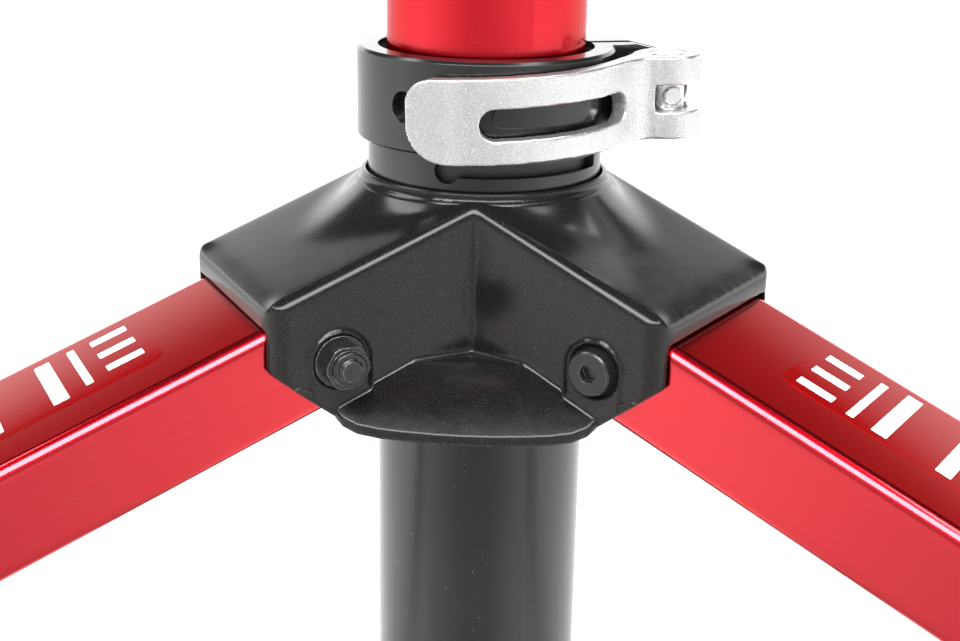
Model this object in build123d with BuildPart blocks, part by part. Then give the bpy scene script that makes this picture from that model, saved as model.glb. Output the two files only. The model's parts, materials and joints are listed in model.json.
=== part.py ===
"""Tripod work stand: folding rectangular legs on a cast hub, a quick-release mast and a jaw head.

Millimetres, +Z up. The origin is on the floor under the column. The front leg points along -Y.
Hub, leg and web pieces are drawn once with their radial direction along +X and then turned into place.
"""
import os
from math import cos, pi, radians, sin, tan

from build123d import *

os.makedirs("parts", exist_ok=True)

# ---------------------------------------------------------------- driving dimensions
HUB_TOP = 285.0               # height of the hub's upper ring above the floor
FIT = 0.05                    # radial clearance of a running fit
SEAT = 0.02                   # radial clearance of a fixed seat
GAP = 0.3                     # clearance between neighbours that move past each other
OVERCUT = 5.0                 # how far a cut runs past the surface it opens

LEG_TURNS = {"front": -90.0, "rear_right": 30.0, "rear_left": 150.0}
LEG_SLOPE = 21.0              # degrees below horizontal with the stand open
LEG_WIDTH = 52.0
LEG_HEIGHT = 25.4
LEG_WALL = 2.2
LEG_CORNER = 3.6
LEG_LENGTH = 640.0            # pivot to the outer end of the tube
PIVOT_RADIUS = 52.0           # column axis to pivot bolt
PIVOT_DROP = 35.3             # hub ring to pivot bolt

MAST_RADIUS = 25.0
MAST_WALL = 2.0
MAST_LENGTH = 800.0
MAST_BOTTOM = 60.0
COLUMN_RADIUS = 27.5
COLUMN_WALL = 2.0
COLUMN_BOTTOM = 8.0

SLEEVE_RADIUS = 29.85
COLLAR_RADIUS = 32.5
CLAMP_TURN = 77.0             # direction of the collar's ears, counter-clockwise from +X

HEAD_AXIS = 895.0             # height of the jaw head's turning axis

# ---------------------------------------------------------------- hub casting dimensions
ARM_HALF_WIDTH = 30.5
CHEEK_INSIDE = 26.5
ARM_REACH = 69.0
HOOD_OUTSIDE = 4.9            # roof height above the leg line through the ring centre
HOOD_INSIDE = -0.9
CROWN_DROP = 1.8
CHEEK_KNEE = 36.8             # drop at which the cheek's end turns inwards
CHEEK_BOTTOM = 49.2
CHEEK_BOTTOM_REACH = 53.3
CORE_REACH = 31.8
RING_RADIUS = 31.6
RING_INSIDE = 30.4
RIM_PROUD = 1.0
BOSS_RADIUS = 7.35
HEAD_RECESS = 1.2
WASHER_RECESS = 1.0
RECESS_RADIUS = 6.6
BOLT_RADIUS = 3.0

SLOPE = radians(LEG_SLOPE)
LEG_RISE = LEG_HEIGHT / 2

ARM_SIDE = Plane(origin=(0, 0, HUB_TOP), x_dir=(1, 0, 0), z_dir=(0, -1, 0))
PIVOT = (PIVOT_RADIUS, 0, HUB_TOP - PIVOT_DROP)
LEG_AXIS = (cos(SLOPE), 0, -sin(SLOPE))
LEG_SIDE = Plane(origin=PIVOT, x_dir=LEG_AXIS, z_dir=(0, -1, 0))
LEG_SECTION = Plane(origin=PIVOT, x_dir=(0, 1, 0), z_dir=LEG_AXIS)
PIVOT_SIDE = Plane(origin=PIVOT, x_dir=(1, 0, 0), z_dir=(0, -1, 0))


def save(builder, name):
    """Label one finished piece and write its STEP file."""
    builder.part.label = name
    export_step(builder.part, f"parts/{name}.step")


def roof_height(reach, offset):
    """Height against the ring top of a line parallel to the legs, at a radial distance."""
    return (offset - reach * sin(SLOPE)) / cos(SLOPE)


def hub_level(height):
    """Horizontal plane at a height against the hub's ring."""
    return Plane.XY.offset(HUB_TOP + height)


def clamp_level(height):
    """Horizontal plane in the quick-release clamp's own frame, +X towards the collar's ears."""
    turn = radians(CLAMP_TURN)
    return Plane(origin=(0, 0, HUB_TOP + height), x_dir=(cos(turn), sin(turn), 0), z_dir=(0, 0, 1))


def clamp_upright(distance, height):
    """Upright plane across the clamp stud, its normal along the stud, its origin on the stud line."""
    turn = radians(CLAMP_TURN)
    outwards = (cos(turn), sin(turn), 0)
    along_stud = (-sin(turn), cos(turn), 0)
    origin = (
        STUD_REACH * outwards[0] + distance * along_stud[0],
        STUD_REACH * outwards[1] + distance * along_stud[1],
        HUB_TOP + height,
    )
    return Plane(origin=origin, x_dir=outwards, z_dir=along_stud)


# ---------------------------------------------------------------- hub casting
ARM_SECTION = Plane(origin=(0, 0, HUB_TOP), x_dir=(0, 1, 0), z_dir=LEG_AXIS)
SECTOR_REACH = 100.0
CREASE_RADIUS = 3.0
LIP_RADIUS = 4.6
END_CORNER = 5.2

with BuildPart() as arm_outside:
    with BuildSketch(ARM_SECTION) as arm_section:
        with Locations((0, HOOD_OUTSIDE)):
            Rectangle(2 * ARM_HALF_WIDTH, SECTOR_REACH, align=(Align.CENTER, Align.MAX))
        fillet(arm_section.vertices().group_by(Axis.Z)[-1], radius=CREASE_RADIUS)
    extrude(amount=SECTOR_REACH, both=True)
    with BuildSketch(ARM_SIDE):
        with BuildLine() as cheek_line:
            Polyline(
                (0, -CROWN_DROP),
                ((HOOD_OUTSIDE + CROWN_DROP * cos(SLOPE)) / sin(SLOPE), -CROWN_DROP),
                (ARM_REACH, roof_height(ARM_REACH, HOOD_OUTSIDE)),
                (ARM_REACH, -CHEEK_KNEE),
                (CHEEK_BOTTOM_REACH, -CHEEK_BOTTOM),
                (0, -CHEEK_BOTTOM),
                close=True,
            )
            fillet(cheek_line.vertices().group_by(Axis.X)[-1].sort_by(Axis.Z)[-1], radius=LIP_RADIUS)
        make_face()
    extrude(amount=SECTOR_REACH, both=True, mode=Mode.INTERSECT)
    with BuildSketch(hub_level(-CHEEK_BOTTOM)):
        with BuildLine():
            Polyline(
                (0, 0),
                (SECTOR_REACH * cos(pi / 3), -SECTOR_REACH * sin(pi / 3)),
                (SECTOR_REACH, 0),
                (SECTOR_REACH * cos(pi / 3), SECTOR_REACH * sin(pi / 3)),
                close=True,
            )
        make_face()
    extrude(amount=CHEEK_BOTTOM, mode=Mode.INTERSECT)
    with BuildSketch(hub_level(-CHEEK_BOTTOM)) as arm_plan:
        Rectangle(ARM_REACH, 2 * ARM_HALF_WIDTH, align=(Align.MIN, Align.CENTER))
        fillet(arm_plan.vertices().group_by(Axis.X)[-1], radius=END_CORNER)
    extrude(amount=CHEEK_BOTTOM, mode=Mode.INTERSECT)

# the crown eases the ring into the three roofs, and stays inside the arms' outline
CROWN_TOP_RADIUS = RING_RADIUS + 0.7
CROWN_BEND = (37.2, roof_height(37.2, HOOD_OUTSIDE))
CROWN_FOOT = (52.0, roof_height(52.0, HOOD_OUTSIDE))
CROWN_INSET = 0.5

with BuildPart() as hub_crown:
    with BuildSketch(ARM_SIDE):
        with BuildLine():
            Bezier((CROWN_TOP_RADIUS, -CROWN_DROP), CROWN_BEND, CROWN_FOOT)
            Polyline(
                CROWN_FOOT,
                (0, CROWN_FOOT[1]),
                (0, -CROWN_DROP),
                (CROWN_TOP_RADIUS, -CROWN_DROP),
            )
        make_face()
    revolve(axis=Axis.Z)
    with BuildSketch(hub_level(CROWN_FOOT[1])):
        with PolarLocations(0, 3, start_angle=LEG_TURNS["front"]):
            Rectangle(ARM_REACH, 2 * (ARM_HALF_WIDTH - CROWN_INSET), align=(Align.MIN, Align.CENTER))
    extrude(amount=-CROWN_FOOT[1], mode=Mode.INTERSECT)

# the web plates lie in the sectors between the arms: level at the root, then falling steeply
WEB_TOP = -38.1
WEB_BEND = 43.2
WEB_FALL = tan(radians(38.9))
WEB_DEPTH = 2.3
WEB_ROOT = 30.0
WEB_REACH = 62.0
WEB_EDGE = [(33.0, 0), (52.0, 31.8), (53.4, 31.4), (54.3, 30.4), (55.8, 28.6), (57.2, 25.0), (58.1, 17.5)]
WEB_NOSE = (58.7, 0)

with BuildPart() as hub_web:
    with BuildSketch(ARM_SIDE):
        Polygon(
            (WEB_ROOT, WEB_TOP),
            (WEB_BEND, WEB_TOP),
            (WEB_REACH, WEB_TOP - (WEB_REACH - WEB_BEND) * WEB_FALL),
            (WEB_REACH, WEB_TOP - (WEB_REACH - WEB_BEND) * WEB_FALL - WEB_DEPTH),
            (WEB_BEND, WEB_TOP - WEB_DEPTH),
            (WEB_ROOT, WEB_TOP - WEB_DEPTH),
            align=None,
        )
    extrude(amount=WEB_REACH, both=True)
    with BuildSketch(hub_level(WEB_TOP)):
        with BuildLine():
            Polyline(*WEB_EDGE)
            ThreePointArc(WEB_EDGE[-1], WEB_NOSE, (WEB_EDGE[-1][0], -WEB_EDGE[-1][1]))
            Polyline(*[(x, -y) for x, y in reversed(WEB_EDGE)])
        make_face()
    extrude(amount=WEB_REACH, both=True, mode=Mode.INTERSECT)

RIM_OUTLINE = [
    (51.4, -46.8),
    (53.6, -45.1),
    (61.8, -40.6),
    (63.6, -41.1),
    (CHEEK_BOTTOM_REACH, -CHEEK_BOTTOM),
    (52.0, -CHEEK_BOTTOM),
]
CHANNEL_OUTLINE = [
    (CORE_REACH, roof_height(CORE_REACH, HOOD_INSIDE)),
    (ARM_REACH + OVERCUT, roof_height(ARM_REACH + OVERCUT, HOOD_INSIDE)),
    (ARM_REACH + OVERCUT, -CHEEK_BOTTOM - OVERCUT),
    (CORE_REACH, -CHEEK_BOTTOM - OVERCUT),
]
BOSS_HALF = ARM_HALF_WIDTH + RIM_PROUD
RING_CORE = 20.0              # radius inside which the ring's blank is left open

with BuildPart() as hub_casting:
    with PolarLocations(0, 3, start_angle=LEG_TURNS["front"]):
        add(arm_outside.part)
    add(hub_crown.part)
    with PolarLocations(0, 3, start_angle=LEG_TURNS["front"] + 60):
        add(hub_web.part)
    with BuildSketch(ARM_SIDE):
        with Locations(((RING_RADIUS + RING_CORE) / 2, -CROWN_DROP)):
            Rectangle(RING_RADIUS - RING_CORE, CROWN_DROP, align=(Align.CENTER, Align.MIN))
    revolve(axis=Axis.Z)

with BuildPart() as arm_trim:
    with BuildSketch(ARM_SIDE):
        Polygon(*RIM_OUTLINE, align=None)
    extrude(amount=BOSS_HALF, both=True)
    with BuildSketch(ARM_SIDE):
        with Locations((PIVOT_RADIUS, -PIVOT_DROP)):
            Circle(BOSS_RADIUS)
            Rectangle(2 * BOSS_RADIUS, CHEEK_BOTTOM - PIVOT_DROP, align=(Align.CENTER, Align.MAX))
        Polygon(
            (0, 0),
            (ARM_REACH, 0),
            (ARM_REACH, -CHEEK_KNEE),
            (CHEEK_BOTTOM_REACH, -CHEEK_BOTTOM),
            (0, -CHEEK_BOTTOM),
            align=None,
            mode=Mode.INTERSECT,
        )
    extrude(amount=BOSS_HALF, both=True)
    with BuildSketch(ARM_SIDE):
        Rectangle(2 * SECTOR_REACH, 2 * SECTOR_REACH)
    extrude(amount=CHEEK_INSIDE, both=True, mode=Mode.SUBTRACT)

with BuildPart() as arm_cuts:
    with BuildSketch(ARM_SIDE):
        Polygon(*CHANNEL_OUTLINE, align=None)
    extrude(amount=CHEEK_INSIDE, both=True)
    with BuildSketch(PIVOT_SIDE):
        Circle(BOLT_RADIUS + SEAT)
    extrude(amount=BOSS_HALF + OVERCUT, both=True)
    with BuildSketch(PIVOT_SIDE.offset(BOSS_HALF - HEAD_RECESS)):
        Circle(RECESS_RADIUS)
    extrude(amount=OVERCUT)
    with BuildSketch(PIVOT_SIDE.offset(-BOSS_HALF + WASHER_RECESS)):
        Circle(RECESS_RADIUS)
    extrude(amount=-OVERCUT)

SLEEVE_FOOT = -12.0
RING_GROOVE = 1.5

with BuildPart() as hub_bore:
    with BuildSketch(ARM_SIDE):
        Polygon(
            (0, -CHEEK_BOTTOM - OVERCUT),
            (COLUMN_RADIUS + SEAT, -CHEEK_BOTTOM - OVERCUT),
            (COLUMN_RADIUS + SEAT, SLEEVE_FOOT),
            (SLEEVE_RADIUS + SEAT, SLEEVE_FOOT),
            (SLEEVE_RADIUS + SEAT, -RING_GROOVE),
            (RING_INSIDE, -RING_GROOVE),
            (RING_INSIDE, OVERCUT),
            (0, OVERCUT),
            align=None,
        )
    revolve(axis=Axis.Z)

with hub_casting:
    with PolarLocations(0, 3, start_angle=LEG_TURNS["front"]):
        add(arm_trim.part)
        add(arm_cuts.part, mode=Mode.SUBTRACT)
    add(hub_bore.part, mode=Mode.SUBTRACT)
save(hub_casting, "hub_casting")

# ---------------------------------------------------------------- column
COLUMN_TOP = HUB_TOP - 2.0
FOOT_RADIUS = 30.0
FOOT_SPIGOT = 25.0
FOOT_SPIGOT_WALL = 3.5
FOOT_ROUND = 2.0
FOOT_CHAMFER = 1.0
BUSH_FLANGE = 8.0
BUSH_SPIGOT = 20.0
BUSH_BORE = 17.0

with BuildPart() as lower_tube:
    with BuildSketch(Plane.XY.offset(COLUMN_BOTTOM)):
        Circle(COLUMN_RADIUS)
        Circle(COLUMN_RADIUS - COLUMN_WALL, mode=Mode.SUBTRACT)
    extrude(amount=COLUMN_TOP - COLUMN_BOTTOM)
save(lower_tube, "lower_tube")

with BuildPart() as column_foot:
    with BuildSketch():
        Circle(FOOT_RADIUS)
    extrude(amount=COLUMN_BOTTOM)
    fillet(column_foot.edges().group_by(Axis.Z)[-1], radius=FOOT_ROUND)
    chamfer(column_foot.edges().group_by(Axis.Z)[0], length=FOOT_CHAMFER)
    with BuildSketch(Plane.XY.offset(COLUMN_BOTTOM)):
        Circle(COLUMN_RADIUS - COLUMN_WALL - SEAT)
        Circle(COLUMN_RADIUS - COLUMN_WALL - FOOT_SPIGOT_WALL, mode=Mode.SUBTRACT)
    extrude(amount=FOOT_SPIGOT)
save(column_foot, "column_foot")

with BuildPart() as mast_bush:
    with BuildSketch(Plane.XY.offset(MAST_BOTTOM - BUSH_FLANGE)):
        Circle(COLUMN_RADIUS - COLUMN_WALL - 2 * FIT)
    extrude(amount=BUSH_FLANGE)
    with BuildSketch(Plane.XY.offset(MAST_BOTTOM)):
        Circle(MAST_RADIUS - MAST_WALL - FIT)
    extrude(amount=BUSH_SPIGOT)
    with BuildSketch(Plane.XY.offset(MAST_BOTTOM - BUSH_FLANGE)):
        Circle(BUSH_BORE)
    extrude(amount=BUSH_FLANGE + BUSH_SPIGOT, mode=Mode.SUBTRACT)
save(mast_bush, "mast_bush")

with BuildPart() as mast_tube:
    with BuildSketch(Plane.XY.offset(MAST_BOTTOM)):
        Circle(MAST_RADIUS)
        Circle(MAST_RADIUS - MAST_WALL, mode=Mode.SUBTRACT)
    extrude(amount=MAST_LENGTH)
save(mast_tube, "mast_tube")

# ---------------------------------------------------------------- quick-release clamp
COLLAR_BOTTOM = 9.2
COLLAR_TOP = 31.8
LIP_HEIGHT = 1.8
LIP_INSIDE = 27.3
SLEEVE_TOP = COLLAR_TOP - LIP_HEIGHT - 0.2
SPLIT = 3.0
EAR_FRONT = 6.2
EAR_REAR = 13.0
EAR_ROOT = 38.0
EAR_BOTTOM = 11.0
EAR_RADIUS = 9.3
STUD_REACH = 43.0
STUD_HEIGHT = 21.0
LEVER_TILT = -2.6             # the lever and its pin lean about the stud
STUD_RADIUS = 2.5
PIN_DISTANCE = 15.9           # clamp split to the lever's pivot pin
PIN_RADIUS = 4.15
PIN_HEAD_RADIUS = 4.6
PIN_HEAD_HEIGHT = 1.2
STUD_PLAY = 0.3
CLAMP_CUT = 60.0              # reach of the cuts through the clamp's thin rings
SLEEVE_SPLIT = 2.0
KEYHOLE_RADIUS = 3.1
KEYHOLE_ANGLE = -121.0
SLIT_END_ANGLE = -37.0
SLIT_BOTTOM = 3.7
SLIT_HEIGHT = 3.0

with BuildPart() as clamp_sleeve:
    with BuildSketch(ARM_SIDE):
        Polygon(
            (COLUMN_RADIUS + SEAT, SLEEVE_FOOT),
            (SLEEVE_RADIUS, SLEEVE_FOOT),
            (SLEEVE_RADIUS, SLEEVE_TOP),
            (COLUMN_RADIUS + SEAT, SLEEVE_TOP),
            align=None,
        )
    revolve(axis=Axis.Z)
    with BuildSketch(clamp_level(SLIT_BOTTOM)):
        Rectangle(CLAMP_CUT, SLEEVE_SPLIT, align=(Align.MIN, Align.CENTER))
    extrude(amount=CLAMP_CUT, mode=Mode.SUBTRACT)
    with BuildSketch(clamp_level(SLIT_BOTTOM)):
        with BuildLine():
            Line((0, 0), PolarLine((0, 0), CLAMP_CUT, KEYHOLE_ANGLE, mode=Mode.PRIVATE) @ 1)
            CenterArc((0, 0), CLAMP_CUT, KEYHOLE_ANGLE, SLIT_END_ANGLE - KEYHOLE_ANGLE)
            Line(PolarLine((0, 0), CLAMP_CUT, SLIT_END_ANGLE, mode=Mode.PRIVATE) @ 1, (0, 0))
        make_face()
    extrude(amount=SLIT_HEIGHT, mode=Mode.SUBTRACT)
    keyhole_turn = radians(CLAMP_TURN + KEYHOLE_ANGLE)
    keyhole_plane = Plane(
        origin=(0, 0, HUB_TOP + SLIT_BOTTOM + SLIT_HEIGHT / 2),
        x_dir=(-sin(keyhole_turn), cos(keyhole_turn), 0),
        z_dir=(cos(keyhole_turn), sin(keyhole_turn), 0),
    )
    with BuildSketch(keyhole_plane):
        Circle(KEYHOLE_RADIUS)
    extrude(amount=CLAMP_CUT, mode=Mode.SUBTRACT)
save(clamp_sleeve, "clamp_sleeve")

LINER_FOOT = -1.5
LINER_CHAMFER = 1.2
LINER_TOP = SLEEVE_TOP - 1.0
LINER_SPLIT = 1.5

with BuildPart() as mast_liner:
    with BuildSketch(ARM_SIDE):
        Polygon(
            (MAST_RADIUS + FIT, LINER_FOOT),
            (COLUMN_RADIUS, LINER_FOOT),
            (COLUMN_RADIUS, LINER_TOP),
            (MAST_RADIUS + FIT + LINER_CHAMFER, LINER_TOP),
            (MAST_RADIUS + FIT, LINER_TOP - LINER_CHAMFER),
            align=None,
        )
    revolve(axis=Axis.Z)
    with BuildSketch(clamp_level(LINER_FOOT)):
        Rectangle(CLAMP_CUT, LINER_SPLIT, align=(Align.MIN, Align.CENTER))
    extrude(amount=CLAMP_CUT, mode=Mode.SUBTRACT)
save(mast_liner, "mast_liner")

PAD_TURN = radians(CLAMP_TURN - 78.0)
PAD_HEIGHT = 19.2
PAD_LENGTH = 25.0
PAD_WIDTH = 5.4
PAD_PROUD = 0.7
PAD_ROOT = SLEEVE_RADIUS + 1.0
EAR_OVERLAP = 10.0            # how deep the ears run into the collar
EAR_CHAMFER = 0.8
COLLAR_TOP_CHAMFER = 0.7
COLLAR_FOOT_CHAMFER = 0.5
RELIEF_TURN = radians(CLAMP_TURN - 140.0)
RELIEF_HEIGHT = 20.0
RELIEF_RADIUS = 3.8
pad_plane = Plane(
    origin=(0, 0, HUB_TOP + PAD_HEIGHT),
    x_dir=(-sin(PAD_TURN), cos(PAD_TURN), 0),
    z_dir=(cos(PAD_TURN), sin(PAD_TURN), 0),
)

with BuildPart() as collar_pad:
    with BuildSketch(pad_plane.offset(LIP_INSIDE)):
        SlotOverall(PAD_LENGTH, PAD_WIDTH)
    extrude(amount=CLAMP_CUT)
    with BuildSketch(clamp_level(COLLAR_BOTTOM)):
        Circle(COLLAR_RADIUS + PAD_PROUD)
        Circle(PAD_ROOT, mode=Mode.SUBTRACT)
    extrude(amount=COLLAR_TOP - COLLAR_BOTTOM, mode=Mode.INTERSECT)

with BuildPart() as collar_ears:
    with BuildSketch(clamp_level(EAR_BOTTOM)):
        with Locations((COLLAR_RADIUS - EAR_OVERLAP, (EAR_REAR - EAR_FRONT) / 2)):
            Rectangle(CLAMP_CUT, EAR_REAR + EAR_FRONT, align=(Align.MIN, Align.CENTER))
    extrude(amount=COLLAR_TOP - EAR_BOTTOM)
    with BuildSketch(clamp_upright(-EAR_FRONT, STUD_HEIGHT)):
        Circle(EAR_RADIUS)
        with Locations((EAR_ROOT - STUD_REACH, (2 * STUD_HEIGHT - COLLAR_TOP - EAR_BOTTOM) / 2)):
            Rectangle(2 * EAR_OVERLAP, COLLAR_TOP - EAR_BOTTOM, align=(Align.MAX, Align.CENTER))
        make_hull()
    extrude(amount=EAR_REAR + EAR_FRONT, mode=Mode.INTERSECT)
    chamfer(collar_ears.edges().filter_by(GeomType.CIRCLE), length=EAR_CHAMFER)

with BuildPart() as clamp_collar:
    with BuildSketch(clamp_level(COLLAR_BOTTOM)):
        Circle(COLLAR_RADIUS)
    extrude(amount=COLLAR_TOP - COLLAR_BOTTOM)
    chamfer(clamp_collar.edges().group_by(Axis.Z)[-1], length=COLLAR_TOP_CHAMFER)
    chamfer(clamp_collar.edges().group_by(Axis.Z)[0], length=COLLAR_FOOT_CHAMFER)
    add(collar_ears.part)
    with BuildSketch(clamp_level(COLLAR_BOTTOM - OVERCUT)):
        Circle(SLEEVE_RADIUS + SEAT)
    extrude(amount=COLLAR_TOP - LIP_HEIGHT - COLLAR_BOTTOM + OVERCUT, mode=Mode.SUBTRACT)
    with BuildSketch(clamp_level(COLLAR_BOTTOM - OVERCUT)):
        Circle(LIP_INSIDE)
    extrude(amount=CLAMP_CUT, mode=Mode.SUBTRACT)
    with BuildSketch(clamp_level(COLLAR_BOTTOM - OVERCUT)):
        Rectangle(CLAMP_CUT, SPLIT, align=(Align.MIN, Align.CENTER))
    extrude(amount=CLAMP_CUT, mode=Mode.SUBTRACT)
    with BuildSketch(clamp_upright(-EAR_FRONT - OVERCUT, STUD_HEIGHT)):
        Circle(STUD_RADIUS + STUD_PLAY)
    extrude(amount=CLAMP_CUT, mode=Mode.SUBTRACT)
    relief_plane = Plane(
        origin=(0, 0, HUB_TOP + RELIEF_HEIGHT),
        x_dir=(-sin(RELIEF_TURN), cos(RELIEF_TURN), 0),
        z_dir=(cos(RELIEF_TURN), sin(RELIEF_TURN), 0),
    )
    with BuildSketch(relief_plane):
        Circle(RELIEF_RADIUS)
    extrude(amount=CLAMP_CUT, mode=Mode.SUBTRACT)
    add(collar_pad.part)
save(clamp_collar, "clamp_collar")


def tilt(builder):
    """Leans one piece of the lever assembly about the clamp stud."""
    seat = clamp_upright(0, STUD_HEIGHT)
    builder.part = builder.part.rotate(Axis(seat.origin, seat.z_dir), LEVER_TILT)


# the lever hugs the collar and ends in a fork around the pivot pin
LEVER_BOTTOM = 11.0
LEVER_TOP = 31.2
LEVER_OUTSIDE = 38.0
LEVER_INSIDE = 33.9
LEVER_TIP_ANGLE = -131.0
LEVER_FLARE_ANGLE = -118.0
LEVER_FLARE = 2.2
FORK_DEPTH = 5.4               # pin axis to the fork's root
LEVER_BEND_ANGLE = -52.0
EYE_RADIUS = 8.6
FORK_GAP = 6.6
LEVER_SLOT = (16.7, 24.1)
LEVER_SLOT_START = -105.5
LEVER_SLOT_END = -40.0
TIP_TOP_CORNER = 5.5
TIP_BOTTOM_CORNER = 9.0
EYE = (STUD_REACH, -PIN_DISTANCE)
EYE_START_ANGLE = -125.0
EYE_SWEEP = 275.0
ARM_HEADING = -35.0           # direction of the outer face where it meets the eye
RETURN_HEADING = 240.0        # direction of the inner face where it leaves the eye
INSIDE_LEAD = 4.0             # degrees by which the inner face bends before the outer one
LEVER_SPAN = 90.0
PIN_HEAD_PLAY = 0.1
PIN_CHAMFER = 0.4


def around(centre, radius, angle):
    """Point on a circle, angle in degrees."""
    return (centre[0] + radius * cos(radians(angle)), centre[1] + radius * sin(radians(angle)))


def heading(angle):
    """Unit direction of an angle in degrees."""
    return (cos(radians(angle)), sin(radians(angle)))


SLOT_RADIUS = (LEVER_SLOT[1] - LEVER_SLOT[0]) / 2
SLOT_MIDDLE = (LEVER_SLOT[1] + LEVER_SLOT[0]) / 2
SLOT_END_TURN = SLOT_RADIUS / LEVER_OUTSIDE * 180 / pi

with BuildPart() as lever_slot:
    with BuildSketch(clamp_level(LEVER_SLOT[0])):
        with BuildLine():
            first = PolarLine((0, 0), CLAMP_CUT, LEVER_SLOT_START + SLOT_END_TURN)
            last = PolarLine((0, 0), CLAMP_CUT, LEVER_SLOT_END - SLOT_END_TURN)
            Line(first @ 1, last @ 1)
        make_face()
    extrude(amount=LEVER_SLOT[1] - LEVER_SLOT[0])
    for slot_angle in (LEVER_SLOT_START + SLOT_END_TURN, LEVER_SLOT_END - SLOT_END_TURN):
        slot_turn = radians(CLAMP_TURN + slot_angle)
        slot_end = Plane(
            origin=(0, 0, HUB_TOP + SLOT_MIDDLE),
            x_dir=(-sin(slot_turn), cos(slot_turn), 0),
            z_dir=(cos(slot_turn), sin(slot_turn), 0),
        )
        with BuildSketch(slot_end):
            Circle(SLOT_RADIUS)
        extrude(amount=CLAMP_CUT)

with BuildPart() as clamp_lever:
    with BuildSketch(clamp_level(LEVER_BOTTOM)):
        with BuildLine():
            tip_outside = around((0, 0), LEVER_OUTSIDE + LEVER_FLARE, LEVER_TIP_ANGLE)
            tip_inside = around((0, 0), LEVER_INSIDE + LEVER_FLARE, LEVER_TIP_ANGLE)
            outside = CenterArc(
                (0, 0), LEVER_OUTSIDE, LEVER_FLARE_ANGLE, LEVER_BEND_ANGLE - LEVER_FLARE_ANGLE
            )
            Spline(
                outside @ 1,
                around(EYE, EYE_RADIUS, EYE_START_ANGLE),
                tangents=[heading(LEVER_BEND_ANGLE + 90), heading(ARM_HEADING)],
            )
            eye_arc = CenterArc(EYE, EYE_RADIUS, EYE_START_ANGLE, EYE_SWEEP)
            inside_bend = LEVER_BEND_ANGLE + INSIDE_LEAD
            inside = CenterArc((0, 0), LEVER_INSIDE, inside_bend, LEVER_FLARE_ANGLE - inside_bend)
            Spline(
                eye_arc @ 1,
                inside @ 0,
                tangents=[heading(RETURN_HEADING), heading(inside_bend - 90)],
            )
            Polyline(inside @ 1, tip_inside, tip_outside, outside @ 0)
        make_face()
    extrude(amount=LEVER_TOP - LEVER_BOTTOM)
    tip_turn = radians(CLAMP_TURN + LEVER_TIP_ANGLE)
    tip_plane = Plane(
        origin=(0, 0, HUB_TOP + LEVER_BOTTOM),
        x_dir=(-sin(tip_turn), cos(tip_turn), 0),
        z_dir=(cos(tip_turn), sin(tip_turn), 0),
    )
    with BuildSketch(tip_plane) as lever_face:
        Rectangle(LEVER_SPAN, LEVER_TOP - LEVER_BOTTOM, align=(Align.MIN, Align.MIN))
        lower_corner = lever_face.vertices().sort_by_distance((0, 0, 0))[0]
        fillet(lower_corner, radius=TIP_BOTTOM_CORNER)
        upper_corner = lever_face.vertices().sort_by_distance((0, LEVER_TOP - LEVER_BOTTOM, 0))[0]
        fillet(upper_corner, radius=TIP_TOP_CORNER)
    extrude(amount=LEVER_SPAN, both=True, mode=Mode.INTERSECT)
    with BuildSketch(clamp_level(STUD_HEIGHT - FORK_GAP / 2)):
        with Locations((EYE[0] - FORK_DEPTH, EYE[1] - EYE_RADIUS - OVERCUT)):
            Rectangle(CLAMP_CUT, CLAMP_CUT, align=(Align.MIN, Align.MIN))
    extrude(amount=FORK_GAP, mode=Mode.SUBTRACT)
    add(lever_slot.part, mode=Mode.SUBTRACT)
    with BuildSketch(clamp_level(LEVER_BOTTOM)):
        with Locations(EYE):
            Circle(PIN_RADIUS + FIT)
    extrude(amount=LEVER_TOP - LEVER_BOTTOM, mode=Mode.SUBTRACT)
    with BuildSketch(clamp_level(LEVER_TOP - PIN_HEAD_HEIGHT - PIN_HEAD_PLAY)):
        with Locations(EYE):
            Circle(PIN_HEAD_RADIUS + FIT)
    extrude(amount=PIN_HEAD_HEIGHT + PIN_HEAD_PLAY, mode=Mode.SUBTRACT)
tilt(clamp_lever)
save(clamp_lever, "clamp_lever")

with BuildPart() as lever_pin:
    with BuildSketch(clamp_level(LEVER_BOTTOM)):
        with Locations(EYE):
            Circle(PIN_RADIUS)
    extrude(amount=LEVER_TOP - LEVER_BOTTOM - PIN_HEAD_HEIGHT)
    with BuildSketch(clamp_level(LEVER_TOP - PIN_HEAD_HEIGHT)):
        with Locations(EYE):
            Circle(PIN_HEAD_RADIUS)
    extrude(amount=PIN_HEAD_HEIGHT)
    chamfer(lever_pin.edges().group_by(Axis.Z)[-1], length=PIN_CHAMFER)
    with BuildSketch(clamp_upright(-PIN_DISTANCE - PIN_RADIUS - OVERCUT, STUD_HEIGHT)):
        Circle(STUD_RADIUS + SEAT)
    extrude(amount=2 * (PIN_RADIUS + OVERCUT), mode=Mode.SUBTRACT)
tilt(lever_pin)
save(lever_pin, "lever_pin")

STUD_PROUD = 0.3
STUD_FRONT = PIN_DISTANCE + PIN_RADIUS + STUD_PROUD
STUD_REAR = 23.0
STUD_CHAMFER = 0.5

with BuildPart() as clamp_stud:
    with BuildSketch(clamp_upright(-STUD_FRONT, STUD_HEIGHT)):
        Circle(STUD_RADIUS)
    extrude(amount=STUD_FRONT + STUD_REAR)
    chamfer(clamp_stud.edges(), length=STUD_CHAMFER)
save(clamp_stud, "clamp_stud")

SADDLE_WIDTH = 14.0
SADDLE_HEIGHT = 18.0
SADDLE_DEPTH = 2.4

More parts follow.
